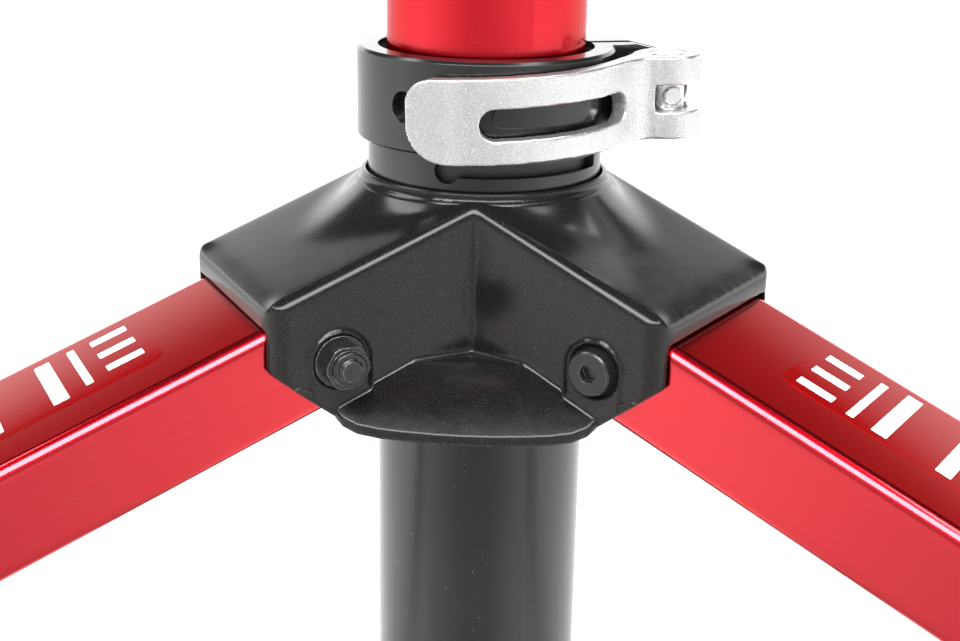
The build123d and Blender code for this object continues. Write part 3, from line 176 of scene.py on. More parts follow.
def coated(
    name,
    colour,
    lighter,
    roughness,
    metallic=0.0,
    grain=2500.0,
    grain_depth=0.02,
    rounding=0.25,
    edge_wear_and_sheen=None,
    edge_wear_and_sheen_width=0.5,
    specks=0.0,
    coat=0.0,
    coat_roughness=0.1,
    flecks_and_glints=None,
    dents=0.03,
    fleck_and_glint_scale=3000.0,
    specular=0.5,
):
    """Painted, moulded or plated surface: mottled colour, fine grain, bright flecks that are partly
    painted glints, lighter edges that are partly wear and partly painted highlight, and dust specks.
    """
    material, tree, principled, place = start_material(name)
    broad = noise(tree, place, BROAD_MOTTLE, 4.0, 0.6)
    mid = noise(tree, place, MID_MOTTLE, 4.0, 0.6)
    fine = noise(tree, place, grain, 2.0, 0.6)
    mottled = maths(tree, "ADD", maths(tree, "MULTIPLY", broad, 0.6), maths(tree, "MULTIPLY", mid, 0.4))
    tone = blend_colour(tree, remap(tree, mottled, 0.35, 0.68), colour, lighter)
    # bright flecks in the colour: on the lever painted glints standing in for sparkle, on the hub partly
    # powder-coat flecks and partly painted glints
    if flecks_and_glints:
        fleck_and_glint_noise = noise(tree, place, fleck_and_glint_scale, 1.0, 0.4)
        tone = blend_colour(tree, remap(tree, fleck_and_glint_noise, 0.5, 0.72), tone, flecks_and_glints)
    smooth_low, smooth_high = roughness
    rough = remap(tree, mottled, 0.35, 0.65, smooth_low, smooth_high)
    # edges and creases lighter in colour: partly real wear, partly a painted highlight along them; the
    # mask takes concave edges too
    if edge_wear_and_sheen:
        patches = remap(tree, noise(tree, place, WEAR_AND_SHEEN_PATCHES, 5.0, 0.65), 0.38, 0.62)
        wear_and_sheen_mask = maths(tree, "MULTIPLY", edge_mask(tree, edge_wear_and_sheen_width * MM), patches)
        tone = blend_colour(tree, wear_and_sheen_mask, tone, edge_wear_and_sheen)
    if specks:
        dots = shade(tree, "TexVoronoi", {"Vector": place, "Scale": DUST_CELLS, "Randomness": 1.0})
        near = remap(tree, dots.outputs["Distance"], 0.06, 0.12, 1.0, 0.0)
        drifts = remap(tree, noise(tree, place, DUST_DRIFTS, 2.0, 0.5), 0.56, 0.62)
        dust = maths(tree, "MULTIPLY", maths(tree, "MULTIPLY", near, drifts), specks)
        tone = blend_colour(tree, dust, tone, DUST_COLOUR)
    tree.links.new(tone, principled.inputs["Base Color"])
    tree.links.new(rough, principled.inputs["Roughness"])
    principled.inputs["Metallic"].default_value = metallic
    principled.inputs["Specular IOR Level"].default_value = specular
    principled.inputs["Coat Weight"].default_value = coat
    principled.inputs["Coat Roughness"].default_value = coat_roughness
    layers = [(fine, 0.6, grain_depth * MM), (mid, 0.25, dents * MM)]
    tree.links.new(bumps(tree, layers, rounding * MM), principled.inputs["Normal"])
    return material


def brushed(
    name,
    colour,
    darker,
    roughness,
    along,
    turn=0.0,
    slope=0.0,
    metallic=1.0,
    coat=0.0,
    coat_roughness=0.1,
    edge_tint=None,
    line_depth=0.004,
    line_scale=5200.0,
    rounding=0.25,
    waviness=0.0,
):
    """Drawn and brushed tube: long fine lines run along one direction of the object."""
    material, tree, principled, place = start_material(name)
    straight = shade(tree, "VectorRotate", {"Vector": place, "Angle": -turn, "Axis": (0, 0, 1)})
    lengthwise = straight.outputs[0]
    if slope:
        level_out = {"Vector": lengthwise, "Angle": -slope, "Axis": (0, 1, 0)}
        lengthwise = shade(tree, "VectorRotate", level_out).outputs[0]
    line_stretch = {"x": (0.004, 1.0, 1.0), "z": (1.0, 1.0, 0.004)}[along]
    streak_stretch = {"x": (0.03, 1.0, 1.0), "z": (1.0, 1.0, 0.03)}[along]
    lines_at = shade(tree, "Mapping", {"Vector": lengthwise, "Scale": line_stretch}).outputs[0]
    streaks_at = shade(tree, "Mapping", {"Vector": lengthwise, "Scale": streak_stretch}).outputs[0]
    lines = noise(tree, lines_at, line_scale, 3.0, 0.7)
    wide_lines = noise(tree, lines_at, line_scale / 9, 4.0, 0.6)
    streaks = noise(tree, streaks_at, STREAKS, 3.0, 0.6)
    broad = noise(tree, place, BROAD_TINT, 3.0, 0.5)
    lined = maths(tree, "MULTIPLY", wide_lines, 0.55)
    tint = maths(tree, "ADD", lined, maths(tree, "MULTIPLY", broad, 0.45))
    tone = blend_colour(tree, remap(tree, tint, 0.36, 0.64), colour, darker)
    askew = {"Vector": lengthwise, "Rotation": (0.3, 0.5, 0.7), "Scale": (0.05, 1.0, 1.0)}
    scratches_at = shade(tree, "Mapping", askew).outputs[0]
    scratch = remap(tree, noise(tree, scratches_at, SCRATCHES, 2.0, 0.4), 0.735, 0.76)
    tone = blend_colour(tree, maths(tree, "MULTIPLY", scratch, 0.06), tone, SCRATCH_COLOUR)
    tree.links.new(tone, principled.inputs["Base Color"])
    low, high = roughness
    rough = remap(tree, maths(tree, "ADD", lines, streaks), 0.6, 1.4, low, high)
    tree.links.new(rough, principled.inputs["Roughness"])
    principled.inputs["Metallic"].default_value = metallic
    principled.inputs["Coat Weight"].default_value = coat
    principled.inputs["Coat Roughness"].default_value = coat_roughness
    if edge_tint:
        principled.inputs["Specular Tint"].default_value = (*edge_tint, 1.0)
    layers = [(lines, 0.5, line_depth * MM), (wide_lines, 0.35, line_depth * 2 * MM)]
    if waviness:
        layers.append((noise(tree, place, WAVES, 2.0, 0.5), 0.4, waviness * MM))
    tree.links.new(bumps(tree, layers, rounding * MM), principled.inputs["Normal"])
    return material


# ---------------------------------------------------------------- materials
RED = (0.63, 0.006, 0.018)
RED_DARK = (0.58, 0.005, 0.016)
red_legs = {
    side: brushed(
        f"red_anodised_{side}", RED, RED_DARK, (0.22, 0.27), "x",
        turn=math.radians(angle), slope=LEG_SLOPE, coat=1.0, coat_roughness=0.08,
        edge_tint=(0.7, 0.02, 0.05), line_depth=0.0006,
    )
    for side, angle in SIDES.items()
}
red_mast = brushed(
    "red_anodised_mast", RED, RED_DARK, (0.27, 0.30), "z",
    coat=0.5, coat_roughness=0.1, edge_tint=(0.7, 0.02, 0.05), line_depth=0.0006,
)
black_tube = brushed(
    "black_anodised", (0.008, 0.008, 0.0085), (0.004, 0.004, 0.0042), (0.16, 0.24), "z",
    metallic=0.0, line_depth=0.005, line_scale=2600.0,
)
# the hub's lighter edges are partly wear and partly a painted highlight along its creases; its bright
# flecks are partly powder-coat flecks and partly painted glints
black_casting = coated(
    "black_casting", (0.0042, 0.0040, 0.0038), (0.0085, 0.0078, 0.0070), (0.15, 0.21),
    grain=3200.0, grain_depth=0.006, rounding=0.5,
    edge_wear_and_sheen=(0.07, 0.066, 0.06), edge_wear_and_sheen_width=1.2, specks=0.3,
    flecks_and_glints=(0.015, 0.0138, 0.0125), dents=0.02, specular=0.3,
)
black_satin = coated(
    "black_satin_aluminium", (0.006, 0.006, 0.006), (0.010, 0.010, 0.010), (0.16, 0.22),
    grain=4200.0, grain_depth=0.004, rounding=0.3,
    edge_wear_and_sheen=(0.16, 0.155, 0.15), edge_wear_and_sheen_width=0.35, specks=0.25,
)
# the lever's bright flecks are painted glints standing in for its sparkle
silver = coated(
    "silver_cast", (0.47, 0.47, 0.465), (0.53, 0.53, 0.525), (0.25, 0.33), metallic=0.85,
    grain=4600.0, grain_depth=0.008, rounding=0.4,
    flecks_and_glints=(0.86, 0.86, 0.85), dents=0.008, fleck_and_glint_scale=4600.0,
)
# the hardware's lighter edges are partly wear and partly a painted highlight on the nut's edges
black_oxide = coated(
    "black_oxide_steel", (0.020, 0.020, 0.021), (0.034, 0.034, 0.035), (0.18, 0.28), metallic=0.6,
    grain=5200.0, grain_depth=0.003, rounding=0.25, edge_wear_and_sheen=(0.42, 0.41, 0.39), edge_wear_and_sheen_width=0.4, dents=0.006,
)
zinc = coated(
    "zinc_steel", (0.60, 0.60, 0.59), (0.72, 0.72, 0.70), (0.2, 0.32), metallic=1.0,
    grain=4800.0, grain_depth=0.01, rounding=0.25,
)
nylon = coated(
    "black_plastic", (0.017, 0.017, 0.018), (0.028, 0.028, 0.029), (0.42, 0.56),
    grain=2600.0, grain_depth=0.04, rounding=0.5, specks=0.25,
)
acetal = coated(
    "white_plastic", (0.72, 0.71, 0.66), (0.80, 0.79, 0.74), (0.34, 0.44),
    grain=2600.0, grain_depth=0.01, rounding=0.4,
)
black_rubber = coated(
    "black_rubber", (0.014, 0.014, 0.014), (0.03, 0.029, 0.028), (0.62, 0.8),
    grain=1900.0, grain_depth=0.06, rounding=0.6, edge_wear_and_sheen=(0.06, 0.058, 0.055), edge_wear_and_sheen_width=0.9, specks=0.4,
)
red_rubber = coated(
    "red_rubber", (0.34, 0.012, 0.014), (0.44, 0.02, 0.022), (0.55, 0.72),
    grain=1900.0, grain_depth=0.05, rounding=0.6, edge_wear_and_sheen=(0.5, 0.08, 0.08), edge_wear_and_sheen_width=0.8,
)

label_films = {
    side: brushed(
        f"label_film_{side}", (0.66, 0.03, 0.045), (0.60, 0.02, 0.035), (0.3, 0.36), "x",
        turn=math.radians(angle), slope=LEG_SLOPE, coat=1.0, coat_roughness=0.02,
        edge_tint=(0.7, 0.04, 0.07), line_depth=0.0008, waviness=0.03, rounding=0.0,
    )
    for side, angle in SIDES.items()
}
label_white = coated(
    "label_white", (0.80, 0.80, 0.79), (0.88, 0.88, 0.87), (0.2, 0.28),
    grain=1800.0, grain_depth=0.002, rounding=0.0, coat=0.4, coat_roughness=0.04,
)

SLOT_MATERIALS = {
    "red_anodised": red_mast,
    "black_anodised": black_tube,
    "black_casting": black_casting,
    "black_satin_aluminium": black_satin,
    "silver_cast": silver,
    "black_oxide_steel": black_oxide,
    "zinc_steel": zinc,
    "black_plastic": nylon,
    "white_plastic": acetal,
    "black_rubber": black_rubber,
    "red_rubber": red_rubber,
}
node_slots = {part["node"]: part["material_slot"] for part in record["subparts"]}


def node_material(node):
    """Material of a CAD node: its record slot's, with the leg tubes' brushing turned their own way."""
    for side, material in red_legs.items():
        if node == f"{side}_leg_tube":
            return material
    return SLOT_MATERIALS[node_slots[node]]


for name, shown in nodes.items():
    shown.data.materials.clear()
    shown.data.materials.append(node_material(name))
node_bodies = {node: body for body, held in record["behaviour"]["bodies"].items() for node in held}


# ---------------------------------------------------------------- mesh helpers
def add_object(name, mesh, body, material):
    """Puts a mesh into the scene as a named piece riding on a body."""
    made = bpy.data.objects.new(name, mesh)
    bpy.context.scene.collection.objects.link(made)
    mesh.materials.clear()
    mesh.materials.append(material)
    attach(made, body)
    return made


def applied(made):
    """Bakes an object's modifiers into its mesh."""
    graph = bpy.context.evaluated_depsgraph_get()
    finished = bpy.data.meshes.new_from_object(made.evaluated_get(graph))
    made.modifiers.clear()
    made.data = finished


def replacement(node, ending, mesh):
    """Puts a reshaped copy of a node in the node's place, on its body and in its slot."""
    made = add_object(node + ending, mesh, node_bodies[node], node_material(node))
    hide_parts(node)
    return made


def smoothed(made, rounds, zone=""):
    """Relaxes a mesh, all over or by a vertex group's weights."""
    smooth = made.modifiers.new("smooth", "SMOOTH")
    smooth.factor = 0.5
    smooth.iterations = rounds
    smooth.vertex_group = zone
    applied(made)
    made.data.shade_smooth()


def cast_copy(node, voxel, rounds):
    """A node's shape with its edges and corners rolled over as a casting or moulding has them."""
    made = replacement(node, "_cast", nodes[node].data.copy())
    remesh = made.modifiers.new("remesh", "REMESH")
    remesh.mode = "VOXEL"
    remesh.voxel_size = voxel * MM
    smoothed(made, rounds)
    return made


def ribbed(made, axis, pitch, depth):
    """Presses rounded grooves across one direction into a copy, so it stays inside its old outline."""
    data = made.data
    normals = [vertex.normal.copy() for vertex in data.vertices]
    for vertex, normal in zip(data.vertices, normals):
        phase = vertex.co[axis] / (pitch * MM)
        groove = max(0.0, math.cos(2 * math.pi * phase) * 2 - 1)
        vertex.co -= normal * groove * depth * MM * (1 - abs(normal[axis]))
    data.update()


def placed(origin, direction):
    """Matrix whose Z axis points along a direction."""
    aimed = Vector(direction).normalized().to_track_quat("Z", "Y").to_matrix().to_4x4()
    return Matrix.Translation(Vector(origin)) @ aimed


def round_point(place, radius, angle, height):
    """World point of a round piece; radius and height in millimetres."""
    return place @ (Vector((radius * math.cos(angle), radius * math.sin(angle), height)) * MM)


def turned(name, profile, place, body, material, sides=96):
    """Lathe piece from a closed outline of (radius, height) in millimetres."""
    points, faces = [], []
    count = len(profile)
    for step in range(sides):
        angle = 2 * math.pi * step / sides
        for radius, height in profile:
            points.append(round_point(place, radius, angle, height))
    for step in range(sides):
        here, after = step * count, (step + 1) % sides * count
        for index in range(count):
            over = (index + 1) % count
            faces.append((here + index, after + index, after + over, here + over))
    return solid(name, points, faces, body, material, smooth=math.radians(40))


def solid(name, points, faces, body, material, smooth=None):
    """Closed mesh piece from world points; welds doubled points and turns its faces outwards."""
    mesh = bpy.data.meshes.new(name)
    mesh.from_pydata([tuple(point) for point in points], [], faces)
    shape = bmesh.new()
    shape.from_mesh(mesh)
    bmesh.ops.remove_doubles(shape, verts=shape.verts, dist=1e-7)
    bmesh.ops.dissolve_degenerate(shape, edges=shape.edges, dist=1e-8)
    bmesh.ops.recalc_face_normals(shape, faces=shape.faces)
    shape.to_mesh(mesh)
    shape.free()
    made = add_object(name, mesh, body, material)
    if smooth:
        mesh.shade_smooth()
        mesh.set_sharp_from_angle(angle=smooth)
    return made


def thread(name, place, root, crest, pitch, starts, length, body, material, sides=40):
    """Screw thread on a round core with tapered ends; sizes in millimetres."""
    rows = max(6, round(length / pitch * 8))
    points, faces = [], []
    for row in range(rows + 1):
        height = length * row / rows
        ease = min(1.0, height / (0.6 * pitch), (length - height) / (0.6 * pitch))
        for step in range(sides):
            phase = (height / pitch - starts * step / sides) % 1.0
            ridge = min(1.0, max(0.0, 1.6 - abs(phase - 0.5) * 5.0))
            radius = root + (crest - root) * ridge * ease
            points.append(round_point(place, radius, 2 * math.pi * step / sides, height))
    for row in range(rows):
        for step in range(sides):
            after = (step + 1) % sides
            low, high = row * sides, (row + 1) * sides
            faces.append((low + step, low + after, high + after, high + step))
    faces.append(tuple(range(sides))[::-1])
    faces.append(tuple(rows * sides + step for step in range(sides)))
    return solid(name, points, faces, body, material, smooth=math.radians(50))


def plate(name, place, low, high, thickness, corner, body, material, lift=0.0):
    """Thin sheet with rounded corners lying on the XY plane of a place; sizes in millimetres."""
    outline = []
    for centre_x, centre_y, start in (
        (high[0] - corner, high[1] - corner, 0),
        (low[0] + corner, high[1] - corner, 90),
        (low[0] + corner, low[1] + corner, 180),
        (high[0] - corner, low[1] + corner, 270),
    ):
        for step in range(7):
            angle = math.radians(start + 15 * step)
            outline.append((centre_x + corner * math.cos(angle), centre_y + corner * math.sin(angle)))
    count = len(outline)
    points = [place @ (Vector((x, y, lift)) * MM) for x, y in outline]
    points += [place @ (Vector((x, y, lift + thickness)) * MM) for x, y in outline]
    faces = [tuple(range(count))[::-1], tuple(range(count, 2 * count))]
    for index in range(count):
        over = (index + 1) % count
        faces.append((index, over, count + over, count + index))
    return solid(name, points, faces, body, material)


def thin_rod(node, near, axis_at, direction, old, new):
    """Copy of a round node, thinned from one radius to another beyond a distance along its axis."""
    mesh = nodes[node].data.copy()
    along = Vector(direction).normalized()
    shape = bmesh.new()
    shape.from_mesh(mesh)
    for distance in (near, near + THINNING_STEP):
        everything = shape.verts[:] + shape.edges[:] + shape.faces[:]
        cut_at = Vector(axis_at) + along * distance * MM
        bmesh.ops.bisect_plane(shape, geom=everything, plane_co=cut_at, plane_no=along)
    for vertex in shape.verts:
        offset = vertex.co - Vector(axis_at)
        distance = offset.dot(along)
        radial = offset - along * distance
        if distance > (near + THINNING_STEP * 0.6) * MM and radial.length > (old - 0.9) * MM:
            vertex.co = Vector(axis_at) + along * distance + radial.normalized() * new * MM
    shape.to_mesh(mesh)
    shape.free()
    return replacement(node, "_core", mesh)


def casting_plate(name, shape, width, limit):
    """Black casting piece on the base from an edit mesh, its edges rounded."""
    bmesh.ops.recalc_face_normals(shape, faces=shape.faces)
    mesh = bpy.data.meshes.new(name)
    shape.to_mesh(mesh)
    shape.free()
    made = add_object(name, mesh, "base", black_casting)
    soften = made.modifiers.new("soften", "BEVEL")
    soften.width = width * MM
    soften.segments = 3
    soften.limit_method = "ANGLE"
    soften.angle_limit = math.radians(limit)
    applied(made)
    made.data.shade_smooth()
    made.data.set_sharp_from_angle(angle=math.radians(42))
    return made


def eased(made, inner, lateral, lowest, rounds):
    """Smooths only the roofs of a hub copy: outside a radius, between the creases, above a height."""
    group = made.vertex_groups.new(name="zone")
    arms = [level(angle)[0] for angle in SIDES.values()]
    for vertex in made.data.vertices:
        radius = math.hypot(vertex.co.x, vertex.co.y) / MM
        if radius > inner and vertex.co.z > lowest and vertex.normal.z > 0.3:
            along = max(arms, key=vertex.co.dot)
            sideways = abs(vertex.co.x * along.y - vertex.co.y * along.x) / MM
            weight = min(1.0, (radius - inner) / 1.5, (lateral - sideways) / 4.0)
            if weight > 0:
                group.add([vertex.index], weight, "REPLACE")
    smoothed(made, rounds, "zone")


# ---------------------------------------------------------------- copies of cast and moulded nodes
hub = cast_copy("hub_casting", 0.5, 8)
eased(hub, 32.3, 27.5, HUB_TOP - 22 * MM, 320)

# the casting's rims under the cheeks: a tapered start, then a crisp ledge (reach, height, how proud)
ARM_HALF_WIDTH = 30.5
RIM_START = 59.0
RIM_DROP = 34.0
RIM_ROOT = 1.0
RIM_OUTLINE = [
    (51.4, -46.8, 1.0), (53.6, -45.1, 1.0), (57.5, -42.95, 1.0), (61.8, -40.6, 0.1), (63.6, -41.1, 0.1),
    (58.2, -45.3, 1.0), (53.3, -49.2, 1.0), (52.0, -49.2, 1.0),
]
for angle in SIDES.values():
    along, across = level(angle)
    for vertex in hub.data.vertices:
        reach, sideways = vertex.co.dot(along), vertex.co.dot(across)
        spill = abs(sideways) - (ARM_HALF_WIDTH - 0.05) * MM
        if reach > RIM_START * MM and 0 < spill < 2 * MM and vertex.co.z < HUB_TOP - RIM_DROP * MM:
            vertex.co -= across * math.copysign(spill, sideways)
for side, angle in SIDES.items():
    along, across = level(angle)
    for label, hand in (("left", 1), ("right", -1)):
        shape = bmesh.new()
        outer = []
        inner = []
        for reach, height, proud in RIM_OUTLINE:
            base = along * reach * MM + Vector((0, 0, HUB_TOP + height * MM))
            outer.append(shape.verts.new(base + across * hand * (ARM_HALF_WIDTH + proud) * MM))
            inner.append(shape.verts.new(base + across * hand * (ARM_HALF_WIDTH - RIM_ROOT) * MM))
        count = len(RIM_OUTLINE)
        shape.faces.new(outer)
        shape.faces.new(inner[::-1])
        for index in range(count):
            after = (index + 1) % count
            shape.faces.new((outer[after], outer[index], inner[index], inner[after]))
        casting_plate(f"cheek_rim_{side}_{label}", shape, 0.3, 40)

for node, voxel, rounds in (
    ("clamp_lever", 0.32, 7),
    ("head_casting", 0.9, 4),
    ("jaw_frame", 0.9, 4),
    ("sliding_jaw", 0.8, 4),
    ("clamp_knob", 0.6, 5),
    ("lock_knob", 0.5, 5),
    ("shaft_end_cap", 0.7, 4),
):
    cast_copy(node, voxel, rounds)
UPRIGHT = 2
for side in SIDES:
    cast_copy(f"{side}_leg_shoe", 0.9, 4)
    ribbed(cast_copy(f"{side}_leg_sole", 0.7, 3), UPRIGHT, 4.0, 0.7)
ribbed(cast_copy("column_foot", 0.7, 3), UPRIGHT, 3.2, 0.6)
for node in ("fixed_jaw_pad", "sliding_jaw_pad"):
    ribbed(cast_copy(node, 0.6, 3), UPRIGHT, 5.0, 0.8)

# ---------------------------------------------------------------- pieces the CAD leaves plain
RING_LIP = [
    (30.42, -1.9), (30.42, 0.15), (30.65, 0.45), (31.25, 0.45), (31.6, 0.1), (31.65, -1.0),
    (32.0, -1.5), (32.5, -1.8), (32.9, -2.6), (32.9, -4.4), (31.4, -4.4),
]
ring_place = placed((0, 0, HUB_TOP), (0, 0, 1))
turned("hub_ring_lip", RING_LIP, ring_place, "base", black_casting)

# the webs' crisp bent plates, laid over the softened casting
WEB_OUTLINE = [
    (34.0, 0.0), (52.1, 31.7), (53.5, 31.3), (54.5, 30.4), (56.0, 28.6), (57.4, 25.0), (58.1, 20.0),
    (58.5, 14.0), (58.8, 7.0), (58.9, 0.0),
]
WEB_TOP = -38.0
WEB_BEND = 43.2
WEB_BEND_HALF = 0.8           # half width of the rounded bend
WEB_BEND_ROUND = 0.25         # how far the rounding lowers the bend's crest
WEB_FALL = math.tan(math.radians(38.9))
WEB_DEPTH = 2.5


def web_height(reach):
    """Height of the web's upper face against the ring, in millimetres."""
    return WEB_TOP - max(0.0, reach - WEB_BEND) * WEB_FALL


for side, angle in SIDES.items():
    shape = bmesh.new()
    outline = WEB_OUTLINE + [(x, -y) for x, y in WEB_OUTLINE[-2:0:-1]]
    shape.faces.new([shape.verts.new((x * MM, y * MM, 0)) for x, y in outline])
    for reach in (WEB_BEND - WEB_BEND_HALF, WEB_BEND, WEB_BEND + WEB_BEND_HALF):
        everything = shape.verts[:] + shape.edges[:] + shape.faces[:]
        bmesh.ops.bisect_plane(shape, geom=everything, plane_co=(reach * MM, 0, 0), plane_no=(1, 0, 0))
    for vertex in shape.verts:
        reach = vertex.co.x / MM
        lowered = WEB_BEND_ROUND if abs(reach - WEB_BEND) < 0.1 else 0.0
        vertex.co.z = HUB_TOP + (web_height(reach) - lowered) * MM
    grown = bmesh.ops.extrude_face_region(shape, geom=shape.faces[:])
    for grown_part in grown["geom"]:
        if isinstance(grown_part, bmesh.types.BMVert):
            grown_part.co.z -= WEB_DEPTH * MM
    around = Matrix.Rotation(math.radians(angle + 60), 3, "Z")
    bmesh.ops.rotate(shape, cent=(0, 0, 0), matrix=around, verts=shape.verts)
    casting_plate(f"web_plate_{side}", shape, 0.45, 50)

# the spun head of the lever's pin
STUD_OUT, STUD_ALONG = level(CLAMP_TURN)
STUD_AT = STUD_OUT * STUD_REACH * MM + Vector((0, 0, HUB_TOP + STUD_HEIGHT * MM))
LEVER_AXIS = Vector((-0.010204, -0.0442, 0.998971))
EYE = STUD_AT - STUD_ALONG * PIN_DISTANCE * MM
RIVET_HEAD = [
    (0.0, 9.0), (4.5, 9.0), (4.5, 9.75), (4.2, 10.1),
    (3.0, 10.2), (1.9, 10.2), (1.4, 9.75), (0.0, 9.6),
]
rivet_place = placed(EYE, LEVER_AXIS)
turned("lever_rivet_head", RIVET_HEAD, rivet_place, "base", silver, sides=48)

# film and plain marks on the legs' upper faces, where the stand carries its labels
FILM_EDGES = {"front": (-22.2, 11.0), "rear_right": (-8.5, 22.2), "rear_left": (-8.5, 22.2)}
FILM_START = 33.6
FILM_END = 215.0
FILM_THICKNESS = 0.07
FILM_CORNER = 4.0
MARKS = (
    (37.0, 46.5, -12.2, -8.8),
    (37.0, 46.5, -3.2, 0.2),
    (37.0, 46.5, 5.8, 9.2),
    (50.6, 52.6, -13.0, 11.0),
    (57.2, 61.2, -13.0, 13.0),
    (73.6, 77.6, -13.0, 13.0),
    (90.0, 91.5, -13.0, 13.0),
    (176.0, 188.0, -13.0, -9.0),
    (176.0, 188.0, 9.0, 13.0),
)
MARK_THICKNESS = 0.05
MARK_CORNER = 0.3
MARK_LIFT = 0.06
for side, angle in SIDES.items():
    outwards, across = level(angle)
    along = outwards * math.cos(LEG_SLOPE) - Vector((0, 0, math.sin(LEG_SLOPE)))
    face_up = along.cross(across)
    at = outwards * PIVOT_RADIUS + Vector((0, 0, PIVOT_HEIGHT)) + face_up * LEG_HALF_HEIGHT
    place = Matrix((
        (along.x, across.x, face_up.x, at.x),
        (along.y, across.y, face_up.y, at.y),
        (along.z, across.z, face_up.z, at.z),
        (0, 0, 0, 1),
    ))
    low, high = FILM_EDGES[side]
    body = f"{side}_leg"
    plate(
        f"{side}_label_film", place, (FILM_START, low), (FILM_END, high),
        FILM_THICKNESS, FILM_CORNER, body, label_films[side],
    )
    middle = (low + high) / 2
    for number, (start, end, left, right) in enumerate(MARKS):
        plate(
            f"{side}_label_mark_{number}", place, (start, middle + left), (end, middle + right),
            MARK_THICKNESS, MARK_CORNER, body, label_white, lift=MARK_LIFT,
        )

# threads: each plain rod is thinned, and its thread starts just inside the thicker part
BOLT_THREAD_START = 36.6
for side, angle in SIDES.items():
    outwards, across = level(angle)
    pivot = outwards * PIVOT_RADIUS + Vector((0, 0, PIVOT_HEIGHT))
    thin_rod(f"{side}_pivot_bolt", BOLT_THREAD_START + 0.8, pivot, across, BOLT_RADIUS, 2.4)
    thread(
        f"{side}_pivot_bolt_thread", placed(pivot + across * BOLT_THREAD_START * MM, across),
        root=2.42, crest=2.98, pitch=1.0, starts=1, length=2.6,
        body="base", material=black_oxide,
    )
STUD_THREAD_START = 20.3
thin_rod("clamp_stud", STUD_THREAD_START + 0.4, STUD_AT, STUD_ALONG, STUD_RADIUS, 2.0)
thread(
    "clamp_stud_thread", placed(STUD_AT + STUD_ALONG * STUD_THREAD_START * MM, STUD_ALONG),
    root=2.03, crest=2.48, pitch=0.8, starts=1, length=2.6,
    body="base", material=zinc,
)
SCREW_THREAD_START = 235.5
SCREW_AT = Vector((0, 0, HEAD_AXIS))
FRONTWARDS = Vector((0, -1, 0))
thin_rod("clamp_screw", SCREW_THREAD_START + 0.5, SCREW_AT, FRONTWARDS, SCREW_RADIUS, 6.3)
thread(
    "clamp_screw_thread", placed(SCREW_AT + FRONTWARDS * SCREW_THREAD_START * MM, FRONTWARDS),
    root=6.35, crest=7.9, pitch=4.0, starts=2, length=86.0,
    body="jaw_screw", material=zinc, sides=64,
)

# ---------------------------------------------------------------- floor, light and camera
def stage_sheet(name, half_size, height):
    """Level square sheet of the studio, half its side in metres."""
    mesh = bpy.data.meshes.new(name)
    shape = bmesh.new()
    bmesh.ops.create_grid(shape, x_segments=1, y_segments=1, size=half_size)
    shape.to_mesh(mesh)
    shape.free()
    made = bpy.data.objects.new(name, mesh)
    made.location = (0, 0, height)
    bpy.context.scene.collection.objects.link(made)
    return made


floor = stage_sheet("floor", 12, -0.0005)
floor_material, floor_tree, floor_shader, floor_place = start_material("pale_floor")
floor_shader.inputs["Base Color"].default_value = (0.93, 0.93, 0.93, 1)
floor_shader.inputs["Roughness"].default_value = 0.6
floor_shader.inputs["Emission Color"].default_value = (1, 1, 1, 1)
# the floor glows more far away, where the studio lights don't reach, so that it stays pale all over
floor_away = shade(floor_tree, "VectorMath", {0: floor_place}, operation="LENGTH").outputs["Value"]
floor_glow = remap(floor_tree, floor_away, 1.1, 3.0, 0.22, 0.8)
floor_tree.links.new(floor_glow, floor_shader.inputs["Emission Strength"])
floor.data.materials.append(floor_material)

world = bpy.data.worlds.new("studio")
bpy.context.scene.world = world
world.use_nodes = True
sky = world.node_tree
sky.nodes.clear()
sky_direction = shade(sky, "TexCoord").outputs["Generated"]
sky_parts = shade(sky, "SeparateXYZ", {0: sky_direction}).outputs
# a white wall stands behind the stand, its top edge level, and the room above and in front is dim
WALL_TURN = math.radians(142)
wall_facing = dotted(sky, sky_direction, (math.cos(WALL_TURN), math.sin(WALL_TURN), 0))
wall_height = maths(sky, "DIVIDE", sky_parts["Z"], maths(sky, "MAXIMUM", wall_facing, 0.03))
wall = remap(sky, wall_height, 0.47, 0.58, 2.3, 0.0)
front_side = remap(sky, wall_facing, -0.1, 0.1, 1.0, 0.0)
horizon = maths(sky, "MULTIPLY", remap(sky, sky_parts["Z"], 0.1, 0.7, 0.8, 0.0), front_side)
studio_level = maths(sky, "MAXIMUM", maths(sky, "MAXIMUM", wall, horizon), 0.05)
seen_directly = shade(sky, "LightPath").outputs["Is Camera Ray"]
sky_level = maths(sky, "MAXIMUM", studio_level, seen_directly)
sky_light = shade(sky, "Background", {"Color": sky_level, "Strength": 1.0})
sky_output = sky.nodes.new("ShaderNodeOutputWorld")
sky.links.new(sky_light.outputs[0], sky_output.inputs["Surface"])


HUB_MIDDLE = Vector((0, 0, 0.3))


def softbox(name, azimuth, elevation, distance, width, height, power):
    """Area light aimed at the stand; azimuth counter-clockwise from +X, elevation above the horizon."""
    light = bpy.data.lights.new(name, "AREA")
    light.shape = "RECTANGLE"
    light.size = width
    light.size_y = height
    light.energy = power
    made = bpy.data.objects.new(name, light)
    turn, lift = math.radians(azimuth), math.radians(elevation)
    back = Vector((math.cos(turn) * math.cos(lift), math.sin(turn) * math.cos(lift), math.sin(lift)))
    made.location = HUB_MIDDLE + back * distance
    made.rotation_mode = "QUATERNION"
    made.rotation_quaternion = back.to_track_quat("Z", "Y")
    bpy.context.scene.collection.objects.link(made)


softbox("key", azimuth=-32, elevation=51, distance=2.6, width=3.2, height=1.15, power=185)
softbox("left_fill", azimuth=-125, elevation=45, distance=2.8, width=0.9, height=1.2, power=26)
softbox("back_top", azimuth=40, elevation=62, distance=3.0, width=1.2, height=1.0, power=30)

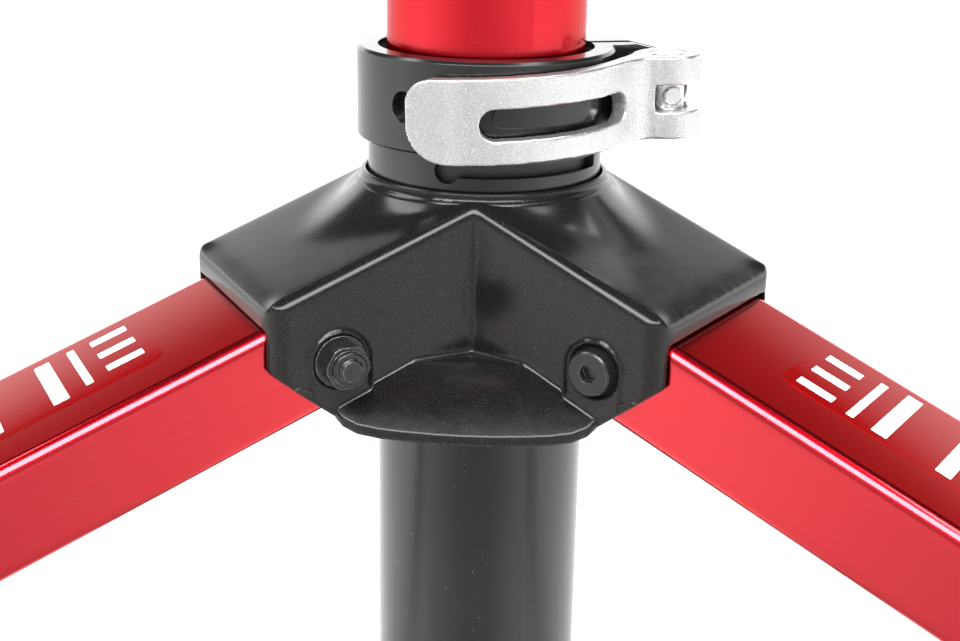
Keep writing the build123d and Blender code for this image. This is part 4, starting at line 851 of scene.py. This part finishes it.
# a soft black flag low in front of the stand, seen only in reflections
flag = stage_sheet("front_flag", 3, 0.001)
flag.visible_camera = False
flag.visible_diffuse = False
flag.visible_shadow = False
flag.visible_transmission = False
flag_material, flag_tree, flag_shader, flag_place = start_material("soft_black_flag")
FLAG_TURN = math.radians(-30)
flag_bearing = shade(flag_tree, "VectorMath", {0: flag_place}, operation="NORMALIZE").outputs[0]
flag_away = dotted(flag_tree, flag_bearing, (math.cos(FLAG_TURN), math.sin(FLAG_TURN), 0))
flag_cover = remap(flag_tree, flag_away, 0.3, 1.0, 0.0, 0.7)
flag_shader.inputs["Base Color"].default_value = (0, 0, 0, 1)
flag_shader.inputs["Specular IOR Level"].default_value = 0.0
flag_tree.links.new(flag_cover, flag_shader.inputs["Alpha"])
flag.data.materials.append(flag_material)

camera_data = bpy.data.cameras.new("photo_camera")
camera_data.lens = 55.67
camera_data.sensor_width = 36
camera_data.clip_start = 0.01
camera_data.clip_end = 100
camera = bpy.data.objects.new("photo_camera", camera_data)
CAMERA_AT = Vector((0.33708, -0.16739, 0.36916))     # metres
CAMERA_YAW = math.radians(63.647)
CAMERA_PITCH = math.radians(18.497)
CAMERA_ROLL = math.radians(1.014)
forward = Vector((
    -math.sin(CAMERA_YAW) * math.cos(CAMERA_PITCH),
    math.cos(CAMERA_YAW) * math.cos(CAMERA_PITCH),
    -math.sin(CAMERA_PITCH),
))
right = Vector((math.cos(CAMERA_YAW), math.sin(CAMERA_YAW), 0))
up = right.cross(forward)
rolled_right = math.cos(CAMERA_ROLL) * right + math.sin(CAMERA_ROLL) * up
rolled_up = math.cos(CAMERA_ROLL) * up - math.sin(CAMERA_ROLL) * right
camera.matrix_world = Matrix((
    (rolled_right.x, rolled_up.x, -forward.x, CAMERA_AT.x),
    (rolled_right.y, rolled_up.y, -forward.y, CAMERA_AT.y),
    (rolled_right.z, rolled_up.z, -forward.z, CAMERA_AT.z),
    (0, 0, 0, 1),
))
bpy.context.scene.collection.objects.link(camera)
bpy.context.scene.camera = camera
bpy.context.scene.view_settings.view_transform = "Standard"
